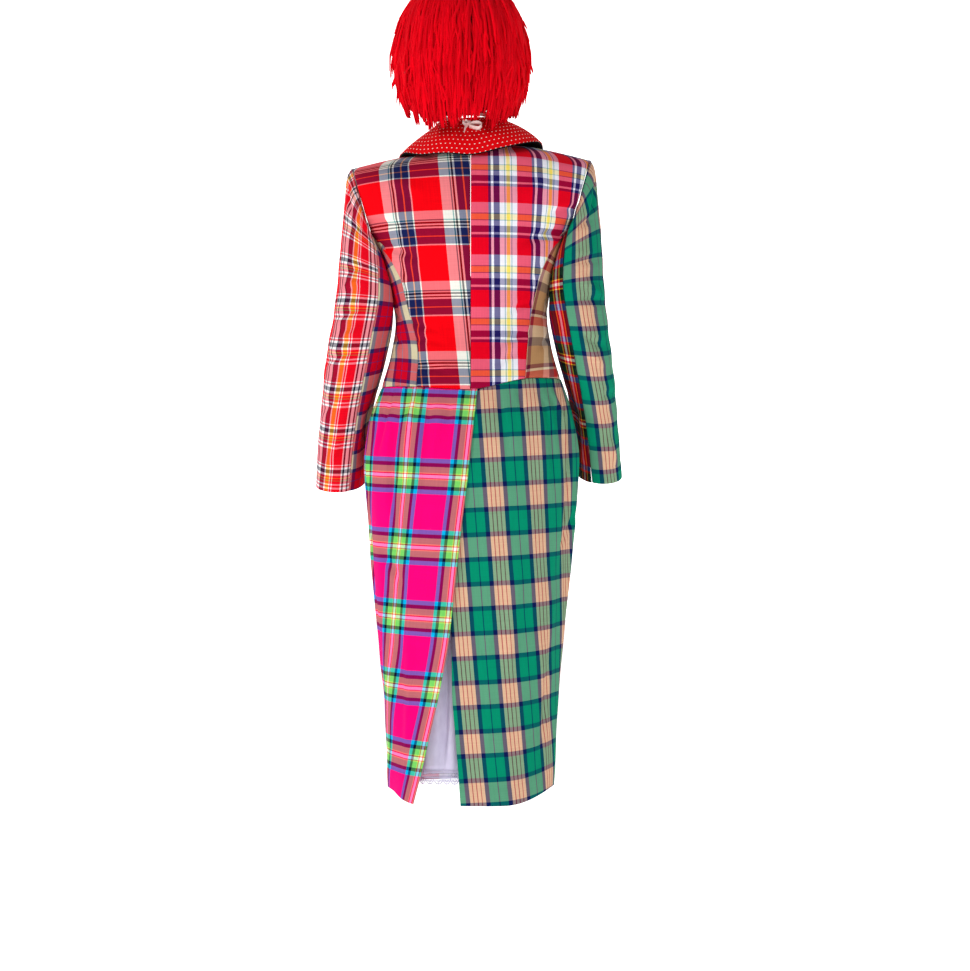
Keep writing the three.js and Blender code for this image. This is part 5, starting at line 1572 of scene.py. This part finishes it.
def ribbon(settings):
    satin = satin_ribbon(settings)
    around = np.linspace(0, 360, 120, endpoint=False)

    def on_band(angle, height):
        a = np.radians(angle)
        depth = np.where(np.cos(a) > 0, NECK_BAND["back"], NECK_BAND["front"])
        x = NECK_BAND["x"] + NECK_BAND["half_width"] * np.sin(a)
        return points(x, depth * np.cos(a), height + 1.2 * np.sin(3 * a + 1))

    heights = np.linspace(NECK_BAND["bottom"], NECK_BAND["bottom"] + NECK_BAND["height"], 7)
    band = ring_piece("satin_neck_ribbon", around, heights, 0.6, satin, on_band)
    stand_for(band, "ribbon", "neck_ribbon")
    x, y, z, loop, tail, width = (BOW[key] for key in ("x", "y", "z", "loop", "tail", "width"))
    y, z = y + BOW_OUT, z - BOW_DROP
    strips = [
        ribbon_along([(x, y + 3, z - 3), (x - loop * 0.35, y + 7, z - 1), (x - loop * 0.75, y + 9, z - 1),
                      (x - loop, y + 10, z - 5), (x - loop * 0.8, y + 11, z - 10),
                      (x - loop * 0.4, y + 9, z - 9), (x, y + 5, z - 5)], width),
        ribbon_along([(x, y + 2, z - 1), (x + loop * 0.25, y + 5, z + 3), (x + loop * 0.5, y + 5, z + 1),
                      (x + loop * 0.25, y + 4, z - 3), (x, y + 3, z - 2)], width * 0.9),
        ribbon_along([(x + 1, y + 4, z - 2), (x + tail * 0.25, y + 8, z - tail * 0.35),
                      (x + tail * 0.4, y + 13, z - tail * 0.8)], width * 1.3),
    ]
    parts = []
    for strip in strips:
        normals = normals_of(strip, np.array([0, 1.0, 0.3]))
        rows, columns = strip.shape[:2]
        ids = np.arange(rows * columns).reshape(rows, columns)
        quads = quads_of(ids)
        back = strip - normals * 0.5
        count = rows * columns
        loop_ids = [*ids[0], *ids[1:, -1], *ids[-1, -2::-1], *ids[-2:0:-1, 0]]
        rim = [[a, b, b + count, a + count] for a, b in zip(loop_ids, loop_ids[1:] + loop_ids[:1])]
        both_sides = np.concatenate([strip.reshape(-1, 3), back.reshape(-1, 3)])
        parts.append((both_sides, [*quads[:, ::-1], *(quads + count), *rim]))
    knot_angles = np.linspace(0, 2 * np.pi, 15)[:-1]
    rings = np.linspace(-1, 1, 9)
    knot = points(
        x + BOW["knot"] * 0.8 * rings[:, None] + 0 * knot_angles,
        y + 2 + BOW["knot"] * np.sqrt(1.05 - rings**2)[:, None] * np.cos(knot_angles),
        z + BOW["knot"] * np.sqrt(1.05 - rings**2)[:, None] * np.sin(knot_angles),
    )
    knot += points(0 * knot[..., 0], 0.4 * np.cos(3 * knot[..., 0]), 0.4 * np.sin(2 * knot[..., 0]))
    rows, columns = knot.shape[:2]
    ids = np.arange(rows * columns).reshape(rows, columns)
    wrapped = np.concatenate([ids, ids[:, :1]], 1)
    quads = quads_of(wrapped)
    parts.append((knot.reshape(-1, 3), [*quads, ids[0][::-1], ids[-1]]))
    verts, faces = joined(parts)
    bow = mesh_object("satin_bow", verts, faces, satin)
    stand_for(bow, "ribbon", "ribbon_bow")


# ---- Stage ----
FLOOR_HEIGHT = -1.56  # metres, well below the hem
BACKDROP_GLOW = 1.1


def stage(settings):
    floor_mesh = bpy.data.meshes.new("floor")
    turn = np.linspace(0, 2 * np.pi, 64, endpoint=False)
    disc = points(14 * np.cos(turn), 14 * np.sin(turn), FLOOR_HEIGHT)
    floor_mesh.from_pydata(disc.tolist(), [], [list(range(64))])
    floor = bpy.data.objects.new("floor", floor_mesh)
    bpy.context.scene.collection.objects.link(floor)
    paint, tree, shader = new_material("white_painted_floor", 0xF4F4F4, 0.9)
    shader.inputs["Emission Color"].default_value = (1, 1, 1, 1)
    shader.inputs["Emission Strength"].default_value = settings.floor_glow
    floor_mesh.materials.append(paint)
    bpy.ops.mesh.primitive_uv_sphere_add(segments=48, ring_count=24, radius=13)
    backdrop = bpy.context.object
    backdrop.name = "backdrop"
    glow, tree, shader = new_material("white_backdrop", 0xFFFFFF, 1.0)
    shader.inputs["Emission Color"].default_value = (1, 1, 1, 1)
    shader.inputs["Emission Strength"].default_value = BACKDROP_GLOW
    backdrop.data.materials.append(glow)
    backdrop.visible_diffuse = backdrop.visible_glossy = False
    backdrop.visible_transmission = backdrop.visible_shadow = False
    world = bpy.data.worlds.new("studio")
    world.use_nodes = True
    world.node_tree.nodes["Background"].inputs[0].default_value = (1, 1, 1, 1)
    world.node_tree.nodes["Background"].inputs[1].default_value = settings.ambient
    bpy.context.scene.world = world
    bpy.context.scene.view_settings.view_transform = "Standard"
    target = Vector((0, 0, -0.45))
    softboxes = {
        "key": ((3.2, 2.6, 1.5), 1.0, settings.key),
        "fill": ((-2.0, 3.6, 0.6), 2.2, settings.key * 0.3),
        "front_left": ((2.6, -3.0, 0.8), 1.8, settings.key * 0.8),
        "front_right": ((-2.4, -3.2, 1.4), 2.2, settings.key * 0.4),
    }
    for name, (place, size, power) in softboxes.items():
        light = bpy.data.lights.new(name, "AREA")
        light.shape, light.size, light.energy = "DISK", size, power
        lamp = bpy.data.objects.new(name, light)
        lamp.location = place
        lamp.rotation_euler = (target - lamp.location).to_track_quat("-Z", "Y").to_euler()
        bpy.context.scene.collection.objects.link(lamp)
    camera_data = bpy.data.cameras.new("camera")
    camera_data.lens, camera_data.sensor_width = settings.lens, 36
    camera_data.clip_end = 60
    camera = bpy.data.objects.new("camera", camera_data)
    camera.location = (-0.0248, settings.distance, -0.5938)
    camera.rotation_euler = (np.pi / 2, 0, np.pi)
    bpy.context.scene.collection.objects.link(camera)
    bpy.context.scene.camera = camera


# ---- Settings ----


def colour_property(name, description, colour):
    return FloatVectorProperty(
        name=name, description=description, subtype="COLOR", min=0, max=1, default=linear(colour)
    )


class CoatSettings(bpy.types.PropertyGroup):
    crease_depth: FloatProperty(
        name="Crease depth", description="How deep the creases are, beside the usual", default=1.7,
        subtype="FACTOR",
    )
    thread: FloatProperty(
        name="Thread", description="Width of a drawn thread", default=THREAD_DRAWN * MM, unit="LENGTH"
    )
    sheen: FloatProperty(
        name="Sheen", description="Fibre sheen of the cotton", default=0.01, subtype="FACTOR"
    )
    collar_red: colour_property("Collar", "Ground of the dotted collar", 0xE1000A)
    dot_white: colour_property("Dots", "Dots of the collar", 0xF5EEE6)
    button_red: colour_property("Buttons", "Resin of the buttons", 0xC00A18)


class PetticoatSettings(bpy.types.PropertyGroup):
    # The cool grey of the cotton is partly painted shade, darker than bleached cotton so that it shows on the
    # white floor. The shade colour is painted shade, mixed in by noise.
    white: colour_property("Cotton", "Bleached cotton", 0xE1DCF2)
    shadow: colour_property("Cotton shade", "Cotton in its folds", 0xC3B9D7)
    scallops: IntProperty(name="Scallops", description="Scallops round the lace", default=56, min=12)


class WigSettings(bpy.types.PropertyGroup):
    red: colour_property("Yarn", "Dyed yarn of the wig", 0xFA0019)
    yarn: FloatProperty(
        name="Yarn width", description="Thickness of a strand", default=4.6 * MM, unit="LENGTH"
    )
    layers: IntProperty(name="Layers", description="Rows of strands from crown to sides", default=15, min=1)
    strands_per_layer: IntProperty(name="Strands", description="Strands in each row", default=118, min=10)
    locks: IntProperty(name="Locks", description="Locks that the strands gather in", default=52, min=8)
    pink: colour_property("Ribbon", "Satin ribbon round the neck", 0xF6D9D4)


class StageSettings(bpy.types.PropertyGroup):
    lens: FloatProperty(name="Lens", description="Focal length in millimetres", default=87.97)
    distance: FloatProperty(
        name="Distance", description="Camera behind the wearer", default=4.2, unit="LENGTH"
    )
    key: FloatProperty(name="Key light", description="Power of the main softbox", default=64, unit="POWER")
    ambient: FloatProperty(name="Ambient", description="Strength of the light all round", default=0.36)
    floor_glow: FloatProperty(name="Floor glow", description="Light from the floor itself", default=0.9)


# ---- Operators ----


class COSTUME_OT_stage(bpy.types.Operator):
    """Builds the pale floor, the soft lights and the camera"""

    bl_idname = "costume.stage"
    bl_label = "Stage"

    def execute(self, context):
        stage(context.scene.costume_stage)
        return {"FINISHED"}


class COSTUME_OT_bodice(bpy.types.Operator):
    """Builds the six panels of the coat above the waist"""

    bl_idname = "costume.bodice"
    bl_label = "Bodice"

    def execute(self, context):
        for side in (1, -1):
            back_panel(side, context.scene.costume_coat)
            side_panel(side, context.scene.costume_coat)
            front_panel(side, context.scene.costume_coat)
        return {"FINISHED"}


class COSTUME_OT_skirt(bpy.types.Operator):
    """Builds the four panels of the coat's skirt with the open vent"""

    bl_idname = "costume.skirt"
    bl_label = "Skirt"

    def execute(self, context):
        settings = context.scene.costume_coat
        skirt_panel("skirt_back_left", "magenta_plaid", 1, True, vent_left, lift_of_left, settings)
        skirt_panel("skirt_back_right", "green_check", -1, True, vent_right, sink_of_right, settings)
        skirt_panel("skirt_front_left", "scarlet_plaid", 1, False, front_edge, sink_of_front, settings)
        skirt_panel("skirt_front_right", "tartan", -1, False, front_edge, no_layer, settings)
        return {"FINISHED"}


class COSTUME_OT_sleeves(bpy.types.Operator):
    """Builds both sleeves, each of an upper and an under panel"""

    bl_idname = "costume.sleeves"
    bl_label = "Sleeves"

    def execute(self, context):
        for side in (1, -1):
            for is_upper in (True, False):
                sleeve_panel(side, is_upper, context.scene.costume_coat)
        return {"FINISHED"}


class COSTUME_OT_collar(bpy.types.Operator):
    """Builds the dotted shawl collar and the near-black sheet under it"""

    bl_idname = "costume.collar"
    bl_label = "Collar"

    def execute(self, context):
        collar(context.scene.costume_coat)
        under_collar()
        return {"FINISHED"}


class COSTUME_OT_buttons(bpy.types.Operator):
    """Builds the three buttons and the thread that holds them"""

    bl_idname = "costume.buttons"
    bl_label = "Buttons"

    def execute(self, context):
        buttons(context.scene.costume_coat)
        return {"FINISHED"}


class COSTUME_OT_petticoat(bpy.types.Operator):
    """Builds the petticoat with its waistband and lace"""

    bl_idname = "costume.petticoat"
    bl_label = "Petticoat"

    def execute(self, context):
        petticoat(context.scene.costume_petticoat)
        return {"FINISHED"}


class COSTUME_OT_wig(bpy.types.Operator):
    """Builds the yarn wig over its knitted cap"""

    bl_idname = "costume.wig"
    bl_label = "Wig"

    def execute(self, context):
        wig(context.scene.costume_wig)
        cap(context.scene.costume_wig)
        return {"FINISHED"}


class COSTUME_OT_ribbon(bpy.types.Operator):
    """Builds the neck ribbon and its bow"""

    bl_idname = "costume.ribbon"
    bl_label = "Ribbon"

    def execute(self, context):
        ribbon(context.scene.costume_wig)
        return {"FINISHED"}


BUILDERS = (
    COSTUME_OT_stage,
    COSTUME_OT_bodice,
    COSTUME_OT_skirt,
    COSTUME_OT_sleeves,
    COSTUME_OT_collar,
    COSTUME_OT_buttons,
    COSTUME_OT_petticoat,
    COSTUME_OT_wig,
    COSTUME_OT_ribbon,
)
SETTINGS = {
    "costume_coat": CoatSettings,
    "costume_petticoat": PetticoatSettings,
    "costume_wig": WigSettings,
    "costume_stage": StageSettings,
}


class COSTUME_PT_panel(bpy.types.Panel):
    """Sizes and colours of the costume, and what builds its pieces"""

    bl_idname = "COSTUME_PT_panel"
    bl_label = "Clown costume"
    bl_space_type = "VIEW_3D"
    bl_region_type = "UI"
    bl_category = "Costume"

    def draw(self, context):
        for name, group in SETTINGS.items():
            box = self.layout.box()
            for field in group.__annotations__:
                box.prop(getattr(context.scene, name), field)
        for builder in BUILDERS:
            self.layout.operator(builder.bl_idname)


CLASSES = (*SETTINGS.values(), *BUILDERS, COSTUME_PT_panel)


def register():
    for cls in CLASSES:
        bpy.utils.register_class(cls)
    for name, group in SETTINGS.items():
        setattr(bpy.types.Scene, name, PointerProperty(type=group))


def unregister():
    for name in SETTINGS:
        delattr(bpy.types.Scene, name)
    for cls in reversed(CLASSES):
        bpy.utils.unregister_class(cls)


def main():
    register()
    for builder in BUILDERS:
        getattr(bpy.ops.costume, builder.bl_idname.split(".")[1])()


if __name__ == "__main__":
    main()
